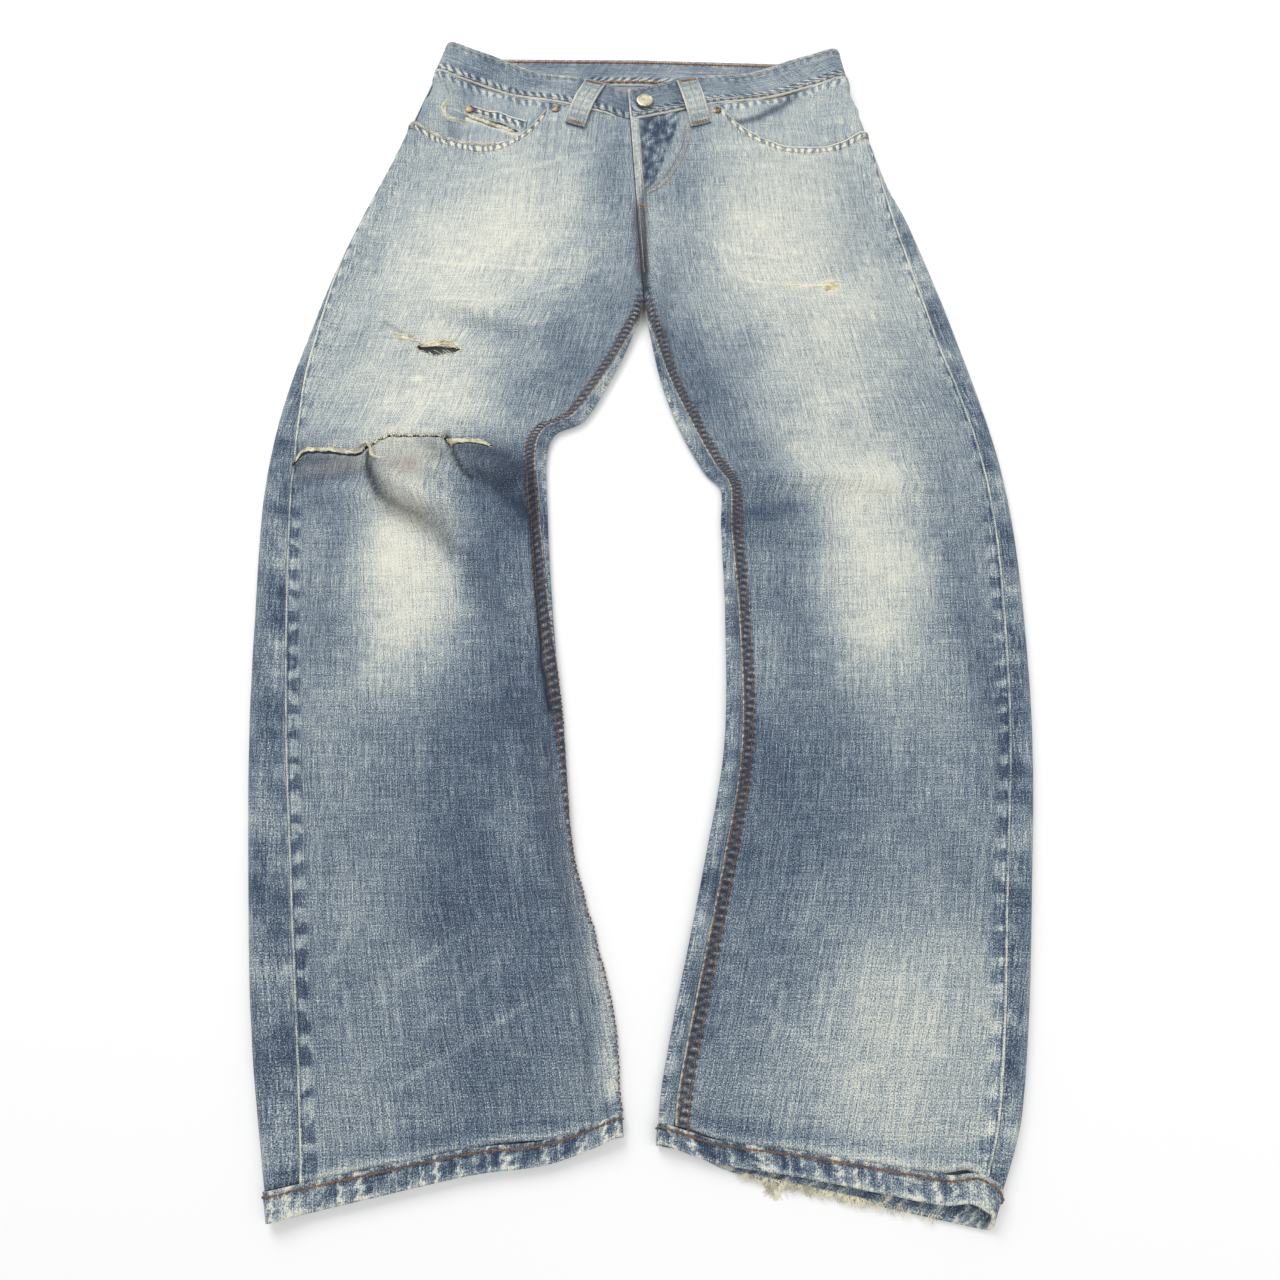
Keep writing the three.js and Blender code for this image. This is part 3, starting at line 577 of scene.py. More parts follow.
class Finish:
    """A node material being put together."""

    def __init__(self, name, **shader):
        self.material = bpy.data.materials.new(name)
        self.material.use_nodes = True
        self.tree = self.material.node_tree
        self.shader = self.tree.nodes["Principled BSDF"]
        for socket, value in shader.items():
            self.shader.inputs[socket.replace("_", " ")].default_value = value

    def put(self, kind, *inputs, out=0, **settings):
        node = self.tree.nodes.new("ShaderNode" + kind)
        for key, value in settings.items():
            setattr(node, key, value)
        self.fill(zip(node.inputs, inputs))
        return node.outputs[out]

    def fill(self, sockets):
        """Link each socket to the output given for it, or set it to the value given."""
        for socket, value in sockets:
            if isinstance(value, bpy.types.NodeSocket):
                self.tree.links.new(value, socket)
            else:
                socket.default_value = value

    def mark(self, name):
        return self.put("Attribute", attribute_name=name, out=2)

    def sum(self, first, *others):
        for other in others:
            first = self.put("Math", first, other, operation="ADD")
        return first

    def times(self, a, b):
        return self.put("Math", a, b, operation="MULTIPLY")

    def noise(self, lengths, scale, detail=2.0, rough=0.5):
        """Noise from 0 to 1 over the cloth, stretched by a scale each way, in cycles a metre."""
        place = self.put("VectorMath", lengths, scale, operation="MULTIPLY")
        node = self.tree.nodes.new("ShaderNodeTexNoise")
        given = dict(Vector=place, Scale=1, Detail=detail, Roughness=rough)
        self.fill((node.inputs[socket], value) for socket, value in given.items())
        return node.outputs["Fac"]

    def swing(self, value, amount):
        """Noise turned to swing by an amount either side of nothing."""
        return self.put("Math", value, 2 * amount, -amount, operation="MULTIPLY_ADD")

    def band(self, value, low, high, bottom=0.0, top=1.0):
        """A smooth step of a value, from bottom at low to top at high."""
        return self.put("MapRange", value, low, high, bottom, top, interpolation_type="SMOOTHSTEP")

    def ramp(self, value, stops):
        node = self.tree.nodes.new("ShaderNodeValToRGB")
        self.tree.links.new(value, node.inputs[0])
        line = node.color_ramp.elements
        while len(line) < len(stops):
            line.new(0.5)
        for stop, (position, colour) in zip(line, stops):
            stop.position = position
            stop.color = srgb(*colour)
        return node.outputs["Color"]

    def blend(self, amount, a, b):
        node = self.tree.nodes.new("ShaderNodeMix")
        node.data_type = "RGBA"
        self.fill([(node.inputs[0], amount), (node.inputs[6], a), (node.inputs[7], b)])
        return node.outputs[2]

    def relief(self, height, distance, strength):
        node = self.tree.nodes.new("ShaderNodeBump")
        given = dict(Strength=strength, Distance=distance, Height=height)
        self.fill((node.inputs[socket], value) for socket, value in given.items())
        self.tree.links.new(node.outputs["Normal"], self.shader.inputs["Normal"])

    def colour(self, socket):
        self.tree.links.new(socket, self.shader.inputs["Base Color"])


INDIGO_TO_CREAM = [
    (0, (46, 58, 82)), (0.25, (87, 102, 119)), (0.5, (129, 145, 159)), (0.66, (160, 173, 179)),
    (0.82, (198, 203, 193)), (1, (233, 230, 214)),
]
DIRT = srgb(128, 106, 84)
CREASE_SHADOW = srgb(30, 36, 46)


def denim(name, streaks=1.0, inner=(150, 160, 168)):
    """Slub denim: uneven warp streaks, faint weft streaks, twill, and wear along the seams. The
    scales of its noise are in cycles a metre across the warp and along it."""
    f = Finish(name, Roughness=0.88, Sheen_Weight=0.1, Sheen_Roughness=0.5, Specular_IOR_Level=0.2)
    lengths = f.put("UVMap", uv_map="cloth")
    warp = f.noise(lengths, (760, 12, 1), 3, 0.7)
    slubs = f.noise(lengths, (1300, 90, 1), 1)
    weft = f.noise(lengths, (26, 760, 1), 2)
    clouds = f.noise(lengths, (26, 20, 1), 3)
    grain = f.noise(lengths, (1300, 1050, 1), 2, 0.8)
    unevenness = ((warp, 0.42), (slubs, 0.4), (weft, 0.24), (clouds, 0.16), (grain, 1.5))
    swings = (f.swing(part, amount * streaks) for part, amount in unevenness)
    wear = f.sum(f.mark("fade_and_shade"), -0.055, *swings)
    # by the distance from a seam or an edge in millimetres: the worn white edge, the dark line
    # under it, and the dark and pale blocks where the seam ropes
    seam = f.mark("seam")
    uneven = f.noise(lengths, (70, 70, 1), 2, 0.6)
    turns = f.sum(f.times(f.mark("course"), 0.68), f.times(uneven, 9.0))
    pitch = f.sum(f.put("Math", turns, operation="SINE"), f.times(uneven, 1.6))
    blocks = f.band(pitch, -0.1, 1.7, -0.3, 0.26)
    roping = f.times(f.times(f.band(seam, 1.6, 3.2), f.band(seam, 13, 8.0)), blocks)
    edge = f.times(f.band(seam, 1.5, 0.8, 0, 0.4), f.band(uneven, 0.3, 0.6, 0.5, 1.2))
    line = f.times(f.band(seam, 1.4, 2.1), f.band(seam, 3.6, 2.4, 0, -0.24))
    rope = f.mark("rope")
    wear = f.sum(wear, *(f.times(part, rope) for part in (roping, edge, line)))
    # the dyed face, the dirt on it, the paler inside of the cloth, and the painted shade of creases,
    # hollows, seams and torn edges
    colour = f.ramp(wear, INDIGO_TO_CREAM)
    dirt = f.times(f.mark("grime"), f.band(clouds, 0.3, 0.7, 0.6, 1.2))
    colour = f.blend(dirt, colour, DIRT)
    shaded_inner = srgb(*(c * 0.82 for c in inner))
    back_of_cloth = f.blend(f.band(weft, 0.3, 0.7), shaded_inner, srgb(*inner))
    colour = f.blend(f.mark("inside"), colour, back_of_cloth)
    f.colour(f.blend(f.mark("shade"), colour, CREASE_SHADOW))
    slanted = f.put("VectorMath", lengths, (1, 0.62, 0), operation="MULTIPLY")
    twill = f.put("TexWave", slanted, 520.0, 1.2, 1.0, 2.0, out=1, bands_direction="DIAGONAL")
    yarns = (f.swing(warp, 0.5), f.swing(weft, 0.35), f.swing(twill, 0.18))
    height = f.sum(*yarns, f.times(roping, rope))
    f.relief(height, 0.0006, 0.6)
    return f.material


front_denim = denim("faded slub denim")

# the torn edge above the knee's gap: shares from the inner seam, and heights; the cloth is
# whole up to the share that the tear starts at
TEAR = (
    (0, 0.18, 0.24, 0.29, 0.335, 0.363, 0.38, 0.47, 0.55, 0.61, 0.68, 0.70, 0.72, 0.75, 0.84,
     0.935, 0.972, 1),
    (560, 564, 569, 568, 567, 565, 570, 567.6, 565.6, 564.6, 557, 555, 550, 548.6, 549.6,
     549.6, 546.6, 535.6),
)
TEAR_FROM = 0.18
# the hole in the thigh: its height up the leg, the shares of its ends, and how far it gapes
HOLE_AT = 652
HOLE = (0.482, 0.62)
HOLE_GAPE = 15.5


def ragged(share, lengths, amount, draw):
    """The ragged line of a torn edge, or of a yarn along it."""
    return wander(share * THIGH_WIDTH, lengths, amount, draw)


def tear_lips(share):
    """The torn edges below and above the knee's gap."""
    random = np.random.default_rng(21)
    torn = smooth((share - TEAR_FROM) / 0.02)
    high = np.interp(share, *TEAR) + torn * ragged(share, (4, 7, 12), 0.9, random)
    wider_ends = 2 * smooth((share - 0.66) / 0.04) + 1.2 * smooth((0.4 - share) / 0.05)
    gap = 0.4 + torn * (1.6 + wider_ends)
    return high - gap + torn * ragged(share, (5, 8, 13), 0.6, random), high


def hole_lips(share):
    """The edges below and above the hole in the thigh."""
    random = np.random.default_rng(5)
    torn = np.where((share > HOLE[0]) & (share < HOLE[1]), 1, 0)
    inside = np.clip((share - HOLE[0]) / (HOLE[1] - HOLE[0]), 0, 1)
    opening = 0.8 + HOLE_GAPE * np.sin(math.pi * inside) ** 0.55
    # the hole lies level while the cloth slants down to the inner seam
    middle = HOLE_AT + 2.5 + 15 * smooth((0.66 - share) / 0.2)
    return (middle - opening / 2 + torn * ragged(share, (4, 9, 15), 1.2, random),
            middle + opening / 2 + torn * ragged(share, (5, 8, 17), 1.2, random))


def hem_lift(name, share):
    """How far the front of a hem has ridden up over the back of it, or hangs below it."""
    if name == "left":
        return 3 + 4.5 * smooth(share / 0.5) + 4.5 * hump(share, 0.93, 0.05)
    return 3 * hump(share, 0, 0.06) - 5 * hump(share, 0.22, 0.14)


def inner_lift(name, away):
    """How far both layers of the left hem are drawn up at the inner seam, by distance from it."""
    return 8 * hump(away, 0, 26) if name == "left" else 0 * away


# dirt rubbed in below the torn knee and along the inner seams, in the form of the folds
GRIME = [
    (-205, 388, 30, 20, -20, 0.35), (-190, 340, 34, 12, -24, 0.3), (-262, 385, 40, 9, 5, 0.3),
    (-40, 20, 120, 9, 107, 0.12), (60, 200, 120, 9, 88, 0.12),
]
# how far apart the ridges are that the thread has drawn up along the seams
OUTSEAM_ROPE = 19.5
INSEAM_ROPE = 6.6
POCKET_ROPE = 8.5
# the button fly: how wide its turned edge is, where it starts above the crotch, and the
# placket's width and height under the curved stitching
FLY_EDGE = 9
FLY_FROM = 95
PLACKET_WIDTH = 54
PLACKET_HEIGHT = 78


def fly_marks(leg, from_in, v, x, y):
    """Nearness to the fly's edge, its worn strip and its placket, and the placket's crumples."""
    rise = smooth((v - leg.crotch - FLY_FROM) / 30)
    curved = PLACKET_WIDTH * np.clip((v - leg.crotch - FLY_FROM - 5) / PLACKET_HEIGHT, 0, 1) ** 0.7
    placket = rise * smooth((from_in - 8) / 3) * smooth((curved - from_in) / 4)
    crumple = np.sin(x / 2.6 + 1.5 * np.sin(y / 5)) * np.sin(y / 3.4 + 1.2 * np.sin(x / 4 + 1))
    return rise * hump(from_in, 0, 14), rise * smooth((FLY_EDGE - from_in) / 2), placket, crumple


def front_places(name, v, share):
    """Places, normals and finish marks of the front of a leg at heights v and shares."""
    leg = legs[name]
    seam_in = leg.inside_seam(v) + SEAM_GAP / 2
    seam_out = leg.side_seam(v) - SEAM_GAP / 2
    s = mix(seam_in, seam_out, share)
    from_in, from_out = s - seam_in, seam_out - s
    from_pocket = np.where(share > POCKET_START, leg.pocket_line(share) - v, 99)
    middle = leg.point(s, v)
    x, y = middle[..., 0], middle[..., 1]
    below = 1 - smooth((v - leg.crotch + 10) / 30)
    above_hem = v - HEM_HEIGHT - hem_lift(name, share) - inner_lift(name, share * SHIN_WIDTH)
    # the felled inseam stands up in fine rungs; the outer seam ropes from the knee down, most
    # on the right leg; the pocket's edge ropes all along
    rungs = np.sin((v + from_in * 0.5) * 2 * math.pi / INSEAM_ROPE + np.sin(v / 23))
    in_band = hump(from_in, 5, 5, 4) * below
    turns = np.sin(v * 2 * math.pi / OUTSEAM_ROPE + 1.3 * np.sin(v / 31) + 0.9 * np.sin(v / 12))
    roped = (1 - 0.8 * smooth((v - 470) / 60)) * (0.8 if name == "right" else 0.55)
    at_pocket = hump(from_pocket, 5, 4.5)
    out = 0.35 * rungs * in_band + 0.4 * roped * turns * hump(from_out, 7, 5)
    out = out + 0.5 * hump(from_in, 5, 3.6) * below
    out = out + at_pocket * (0.5 + 0.45 * np.sin(s * 2 * math.pi / POCKET_ROPE + np.sin(s / 17)))
    # the fly laps left over right, and its placket is crumpled under the curved stitching
    fly, strip, placket, crumple = fly_marks(leg, from_in, v, x, y) if name == "left" else [0 * s] * 4
    out = out + 1.1 * fly + 0.8 * placket * crumple
    # creases and ripples die away beside the seams, and the panel steps up on to the hem
    quiet = smooth(from_in / 12) * smooth(from_out / 12)
    depth, dark, wear = creased(x, y)
    out = out + ripple(x, y, 0.3, np.random.default_rng(3)) * quiet + depth * quiet
    out = out + 1.35 * hump(np.maximum(above_hem, 0), 0, 5)
    places, normals = leg.place(s, v, out)
    # no part of the cloth lies lower than the floor
    places[..., 2] = np.maximum(places[..., 2], CLOTH / 2 + 0.05)
    # the wear, with painted shade: the leg's own, its lines and creases, then what each seam and edge
    # adds
    fade_and_shade = worn(name, share, v) + folded(x, y, WEAR_AND_SHADE_LINES) + wear
    fade_and_shade = fade_and_shade + 0.22 * hump(above_hem, 1, 1.8) - 0.13 * hump(above_hem, 9, 5)
    fade_and_shade = fade_and_shade - in_band * (0.2 - 0.42 * rungs) - 0.07 * roped * hump(from_out, 8, 5, 4)
    fade_and_shade = fade_and_shade + 0.34 * strip * (0.7 + 0.3 * rungs) + placket * (0.42 * crumple - 0.34)
    fade_and_shade = fade_and_shade + 0.1 * at_pocket
    # the crotch seam below the fly: darker, dirtier, and with painted shade
    crotch_top = 1 - smooth((v - leg.crotch - FLY_FROM) / 20)
    crotch_seam = hump(from_in, 0, 6) * smooth((v - leg.crotch - 12) / 20) * crotch_top
    side_by = np.minimum(np.where(v < leg.crotch, from_in, 99), from_out)
    nearer_in = from_in < from_out
    seam_rope = np.where(nearer_in, 0.35 + 0.8 * (from_in < 1.7), np.where(from_out < 4, 0.9, roped))
    marks = dict(
        fade_and_shade=fade_and_shade - 0.3 * crotch_seam,
        seam=np.minimum(side_by, np.maximum(from_pocket, 0)),
        course=np.where(from_pocket < side_by, s * 1.1, v * np.where(nearer_in, 1.4, 0.47)),
        rope=np.where(from_pocket < 12, 1.3, seam_rope),
        grime=np.clip(folded(x, y, GRIME) + 0.3 * crotch_seam + 0.2 * in_band, 0, 0.7),
        # painted shade in the creases, along the crotch seam and between the inseam's rungs
        shade=np.clip(dark + 0.25 * crotch_seam + in_band * (0.3 - 0.3 * rungs), 0, 0.9),
    )
    return places, normals, s, marks


# rows of the grid up the right front: to the tear, across it, to the hole, across it, to the
# pocket; the left front has no tear
RIGHT_ROWS = (200, 1, 34, 1, 100)
LEFT_ROWS = (330,)


def front_panel(name):
    leg = legs[name]
    share = spacing(THIGH_WIDTH + 3)
    top = leg.pocket_line(share)
    start = HEM_HEIGHT - 0.5 + hem_lift(name, share) + inner_lift(name, share * SHIN_WIDTH)
    if name == "right":
        v = rows_between([start, *tear_lips(share), *hole_lips(share), top], RIGHT_ROWS)
        keep = np.ones((len(v) - 1, len(share) - 1), bool)
        middle = (share[1:] + share[:-1]) / 2
        keep[RIGHT_ROWS[0]] = middle < TEAR_FROM
        keep[sum(RIGHT_ROWS[:3])] = (middle < HOLE[0]) | (middle > HOLE[1])
    else:
        v = rows_between([start, top], LEFT_ROWS)
        keep = None
    places, normals, s, marks = front_places(name, v, np.broadcast_to(share, v.shape))
    across, along = leg.threads(leg.point(s, v))
    panel = cloth(f"front_{name}_panel", front_denim, "denim_front", places, normals, CLOTH,
                  across, along, marks, keep)
    laid(f"front_{name}", places)


for name in legs:
    front_panel(name)

# ==== Back leg panels and yokes =============================================================
# Two back panels of the same denim, less faded, with a yoke sewn along the top of each. Their
# edges roll over on to the top, so a strip of the back shows outside the front's seams.
back_denim = denim("mid-blue slub denim")
BACK_WIDTH = 262
# how deep the yoke is at the side and at the centre back
YOKE_AT_SIDE = 60
YOKE_AT_CENTRE = 46
# painted shadow inside the leg, behind the hole and the torn knee, and the wear of the seat and
# the backs of the knees, in the form of the folds
SHADOW_INSIDE_LEG = [(-196, 507, 34, 16, 0, .7), (-215, 395, 100, 22, 5, .7)]
SEAT_WEAR = [
    (-120, 690, 110, 90, 20, 0.28), (120, 690, 110, 90, -20, 0.28),
    (-195, 290, 150, 60, 88, 0.12), (190, 290, 150, 60, 92, 0.12),
]


def back_places(name, v, share):
    leg = legs[name]
    seam_out = leg.side_seam(v) + SEAM_GAP / 2
    seam_in = leg.back_end(v) - SEAM_GAP / 2
    s = mix(seam_out, seam_in, share)
    from_out, from_in = s - seam_out, seam_in - s
    below = 1 - smooth((v - leg.crotch + 10) / 30)
    out = 0.25 * np.sin(v * 2 * math.pi / 10.5) * hump(from_out, 5, 4)
    # the bottom rests flat on the floor, so only its rolled edges are uneven
    middle = leg.point(s, v)
    x, y = middle[..., 0], middle[..., 1]
    out = np.where(middle[..., 2] > 2.2 + seat_lift(y), out, 0)
    places, normals = leg.place(s, v, out)
    wear = 0.36 + 0.16 * smooth((v - 560) / 200) + ripple(x, y, 0.05, np.random.default_rng(8))
    # the strip beside each seam is worn along the fold
    fold = hump(from_out, leg.outseam_at(v), 5) + hump(from_in, 9, 4) * below
    under = np.clip(folded(x, y, SHADOW_INSIDE_LEG), 0, 1) if name == "right" else 0
    on_bottom = s > leg.section(v)["finish"]
    marks = dict(
        fade_and_shade=wear + 0.14 * fold + np.where(on_bottom, folded(x, y, SEAT_WEAR), 0),
        seam=np.minimum(from_out, np.where(v < leg.crotch, from_in, 99)),
        rope=0.2,
        course=v * 0.47,
        # painted shadow inside the leg, seen through the hole and the torn knee
        shade=np.where(on_bottom, under, 0),
    )
    return places, normals, s, marks


def yoke_line(name, share):
    """The height of the yoke's seam."""
    return legs[name].waist - mix(YOKE_AT_SIDE, YOKE_AT_CENTRE, share)


# the columns are close together where the panel rolls over its edges
OUTER_ROLL = 46
INNER_ROLL = 26
ROLL_STEP = 1.7
outer_columns = np.arange(0, OUTER_ROLL, ROLL_STEP)
flat_columns = np.linspace(OUTER_ROLL, BACK_WIDTH - INNER_ROLL, 40)
inner_columns = (BACK_WIDTH - np.arange(0, INNER_ROLL, ROLL_STEP))[::-1]
share = np.r_[outer_columns, flat_columns, inner_columns] / BACK_WIDTH
for name, leg in legs.items():
    seam = yoke_line(name, share)
    hem_line = np.full_like(share, HEM_HEIGHT + SEAM_GAP)
    waist_line = np.full_like(share, leg.waist - SEAM_GAP)
    for kind, lines, rows in (("back", [hem_line, seam - SEAM_GAP / 2], 215),
                              ("yoke", [seam + SEAM_GAP / 2, waist_line], 16)):
        v = rows_between(lines, [rows])
        places, normals, s, marks = back_places(name, v, np.broadcast_to(share, v.shape))
        piece = cloth(f"{kind}_{name}_panel", back_denim, "denim_back", places, normals, CLOTH,
                      *leg.threads(places), marks)
        laid(f"{kind}_{name}", places)

# ==== Pocket facings and coin pocket ========================================================
# Denim facings sewn under each scooped pocket opening, and on the right one a coin pocket, torn
# across below its turned top. They hang from the waist seam behind the front panels.
pocket_denim = denim("pale pocket denim", streaks=0.8)
LAYER_GAP = 0.5
LAYER = CLOTH + LAYER_GAP
# how far the layers reach under the front below the pocket's edge
POCKET_HIDDEN = 14
COIN_TEAR = 52


def layer_depth(leg, v, depth):
    """How far out a layer lies that hangs at a depth behind the front and rises to the waist."""
    return mix(-depth, -0.2, smooth((v - leg.waist + 26) / 22))


def pocket_layer(name, lines, counts, depth, shares, wear):
    """Places behind the front panel; they rise to the waist seam."""
    leg = legs[name]
    v = rows_between(lines, counts)
    share = np.broadcast_to(shares, v.shape)
    s = mix(leg.inside_seam(v) + SEAM_GAP / 2, leg.side_seam(v) - SEAM_GAP / 2, share)
    open_part = smooth((v - leg.pocket_line(share) - 3) / 22)
    soft = ripple(s, v, 0.5, np.random.default_rng(11)) * open_part
    places, normals = leg.place(s, v, layer_depth(leg, v, depth) + soft)
    return places, normals, s, v, dict(fade_and_shade=wear(share, v), course=s)


def right_facing(share, v):
    above_edge = v - legs["right"].pocket_line(share)
    return 0.62 - 0.12 * hump(above_edge, 0, 9) + 0.06 * np.sin(share * 30)


def left_fold(share, v):
    """Nearness to the fold that runs up the left facing from the pocket's edge to the waist."""
    above_edge = v - legs["left"].pocket_line(share)
    up = (share - 0.46) / 0.25
    ends = smooth((share - 0.42) / 0.05) * smooth((0.8 - share) / 0.1)
    return hump(above_edge, mix(2, 80, up), mix(4, 8, up)) * ends


# the left facing's wear, with painted shadow along its fold
def left_facing(share, v):
    above_edge = v - legs["left"].pocket_line(share)
    return 0.72 - 0.3 * left_fold(share, v) - 0.12 * hump(above_edge, 0, 6)


for name, depth, wear in (("right", 2 * LAYER, right_facing), ("left", LAYER, left_facing)):
    leg = legs[name]
    shares = np.linspace(0.265, 1, 110)
    low = np.minimum(leg.pocket_line(shares), leg.waist - 22) - POCKET_HIDDEN
    high = np.full_like(shares, leg.waist - SEAM_GAP)
    places, normals, s, v, marks = pocket_layer(name, [low, high], [40], depth, shares, wear)
    marks.update(seam=leg.waist - v, rope=0.8)
    if name == "left":
        # painted shadow along the fold up the left facing
        marks["shade"] = 0.45 * left_fold(np.broadcast_to(shares, v.shape), v)
    else:
        # painted shade inside the torn coin pocket
        along_tear = leg.share_of(s, v)
        ends = smooth((along_tear - 0.5) / 0.04) * smooth((0.79 - along_tear) / 0.03)
        marks["shade"] = 0.75 * hump(v, leg.waist - COIN_TEAR, 5, 4) * ends
    piece = cloth(f"facing_{name}_panel", pocket_denim, "denim_pocket", places, normals, CLOTH,
                  *leg.threads(places), marks)
    laid(f"facing_{name}", places)


COIN_TOP = 34
COIN_ENDS = (0.5, 0.78)
# rows up the coin pocket: to its tear, across it, and to the turned top
COIN_ROWS = (14, 1, 12)


def coin_tear(share):
    """The torn edges under the coin pocket's turned top."""
    random = np.random.default_rng(4)
    opening = 6.5 * np.sin(math.pi * np.clip((share - 0.52) / 0.24, 0, 1)) ** 0.7 + 0.6
    middle = legs["right"].waist - COIN_TEAR
    return (middle - opening / 2 + ragged(share, (4, 7, 13), 0.9, random),
            middle + opening / 2 + ragged(share, (5, 9), 0.4, random))


def coin_wear(share, v):
    return 0.66 + 0.3 * hump(v, legs["right"].waist - COIN_TEAR - 5, 3)


leg = legs["right"]
shares = np.linspace(*COIN_ENDS, 64)
low = leg.pocket_line(shares) - POCKET_HIDDEN
torn_low, torn_high = coin_tear(shares)
torn_low = np.maximum(torn_low, low + 2)
torn_high = np.maximum(torn_high, torn_low + 0.5)
high = leg.waist - COIN_TOP + 0 * shares
places, normals, s, v, marks = pocket_layer(
    "right", [low, torn_low, torn_high, high], COIN_ROWS, LAYER, shares, coin_wear)
marks.update(seam=leg.waist - COIN_TOP - v, rope=1.4)
keep = np.ones((len(v) - 1, len(shares) - 1), bool)
middle = (shares[1:] + shares[:-1]) / 2
keep[COIN_ROWS[0]] = (middle < 0.53) | (middle > 0.75)
coin_pocket = cloth("coin_pocket_panel", pocket_denim, "denim_pocket", places, normals, CLOTH,
                    *leg.threads(places), marks, keep)
laid("coin_pocket", places)

# ==== Waistband =============================================================================
# One folded strip of denim sewn round the waist seam, worn white along both edges. Its right
# end runs under the left end, where the button holds the two together.
band_denim = denim("worn waistband denim", inner=(112, 126, 146))
BAND_THICK = 2.2
BAND_HEIGHT = 41
# how far the right end runs under the left, and how deep it lies there
BAND_LAP = 30
UNDER_LAP = -(BAND_THICK + LAYER_GAP)
LAP_COLUMNS = 12


def band_places(rows, height):
    """Places along the band, from its right end, hidden under the left end, round the back."""
    left, right = legs["left"], legs["right"]
    under = np.linspace(BAND_LAP, 1, LAP_COLUMNS)
    # the columns are closer together where the band rolls over at the sides
    fine = np.r_[np.linspace(0, 0.42, 70), np.linspace(0.43, 0.56, 34), np.linspace(0.57, 1, 60)]

    def heights(leg):
        low = leg.waist + SEAM_GAP / 2
        return (low + (leg.top - low) * rows)[:, None]

    v = heights(left)
    lap_depth = np.full((len(rows), len(under)), UNDER_LAP)
    strips = [left.place(left.section(v)["q"] + under, v, lap_depth, BAND_THICK / 2)]
    for leg, shares in ((right, fine), (left, fine[::-1][1:])):
        v = heights(leg)
        a = leg.section(v)
        s = mix(a["q"] + SEAM_GAP / 2, a["total"] - a["q"], shares)
        from_front = s - a["q"]
        out = UNDER_LAP * (1 - smooth((from_front - 9) / 15)) if leg is right else np.zeros_like(s)
        strips.append(leg.place(s, v, out + height(from_front, rows[:, None]), BAND_THICK / 2))
    places, normals = (np.concatenate(part, 1) for part in zip(*strips))
    # the two halves meet at the centre back
    join = len(under) + len(fine) - 1
    for values in (places, normals):
        values[:, join] = (values[:, join - 1] + values[:, join + 1]) / 2
    steps = np.linalg.norm(np.diff(places, axis=1), axis=-1)
    return places, unit(normals), np.c_[np.zeros(len(rows)), np.cumsum(steps, 1)]


def band_pucker(s, k):
    """Puckers that the rows of stitching have drawn up, most beside the waist seam."""
    ends = hump(k, 0.1, 0.1) + 0.6 * hump(k, 0.9, 0.1)
    return 0.4 * np.sin(s * 2 * math.pi / POCKET_ROPE + np.sin(s / 23)) * ends


rows = np.linspace(0, 1, 17)
places, normals, along_band = band_places(rows, band_pucker)
k = np.broadcast_to(rows[:, None], along_band.shape)
from_end = along_band[:, -1:] - along_band
at_front = smooth((90 - from_end) / 40) + 1.9 * smooth((92 - along_band) / 12)
edges = 0.22 * hump(k, 1, 0.05) + 0.2 * hump(k, 0, 0.06) + 0.35 * np.exp(-from_end / 2.5)
uneven = 0.06 * np.sin(along_band / 37) + 0.05 * np.sin(along_band / 9 + 3 * k)
marks = dict(
    fade_and_shade=0.47 - 0.1 * at_front + edges + uneven,
    seam=np.minimum(np.minimum(k * BAND_HEIGHT, (1 - k) * BAND_HEIGHT + 1.5), from_end),
    course=along_band,
    rope=0.35 + 0.95 * smooth((0.5 - k) / 0.2),
)
waistband = cloth("waistband_strip", band_denim, "denim_band", places, normals, BAND_THICK,
                  k * BAND_HEIGHT, along_band, marks, lining=0.12)
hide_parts("waistband")
(length, _), area = flat_size(places)

# ==== Belt loops ============================================================================
# Two wide front loops, set on a slant and bar-tacked to the band and the panel below, and three
# narrow ones lying flat against the back. Each is a folded strip with the seam inside.
LOOP_WIDTH = 22
LOOP_LENGTH = 66
# how far from the centre front each front loop's middle lies, at its top and at its foot
LOOP_AT = {"right": (36, 64), "left": (64, 75)}


def on_loop(name, k, across, edge_pucker=0.0):
    """Places and normals on a front loop: k is how far down it, across how far from its middle."""
    leg = legs[name]
    v = mix(leg.top - 3, leg.waist - 25, k) + 0 * across
    s = mix(*LOOP_AT[name], k) + leg.section(v)["q"] + across
    arch = BAND_THICK + LAYER_GAP + 1.4 * np.sin(math.pi * k)
    return leg.place(s, v, arch + edge_pucker + 0 * s)


for name in legs:
    k = np.linspace(0, 1, 30)[:, None]
    across = np.linspace(-LOOP_WIDTH / 2, LOOP_WIDTH / 2, 16)[None, :]
    off_middle = np.abs(across)
    edges = 0.35 * hump(off_middle, 8, 2) * (1 + 0.6 * np.sin(k * 60 + across))
    places, normals = on_loop(name, k, across, edges)
    marks = dict(
        fade_and_shade=0.66 + 0.16 * hump(off_middle, 11, 1.6) - 0.1 * np.cos(k * 2 * math.pi),
        seam=LOOP_WIDTH / 2 - off_middle,
        rope=0.25,
        course=k * LOOP_LENGTH,
    )
    loop = cloth(f"loop_front_{name}_strip", band_denim, "denim_band", places, normals, CLOTH,
                 across, k * LOOP_LENGTH, marks)
    laid(f"loop_front_{name}", places)


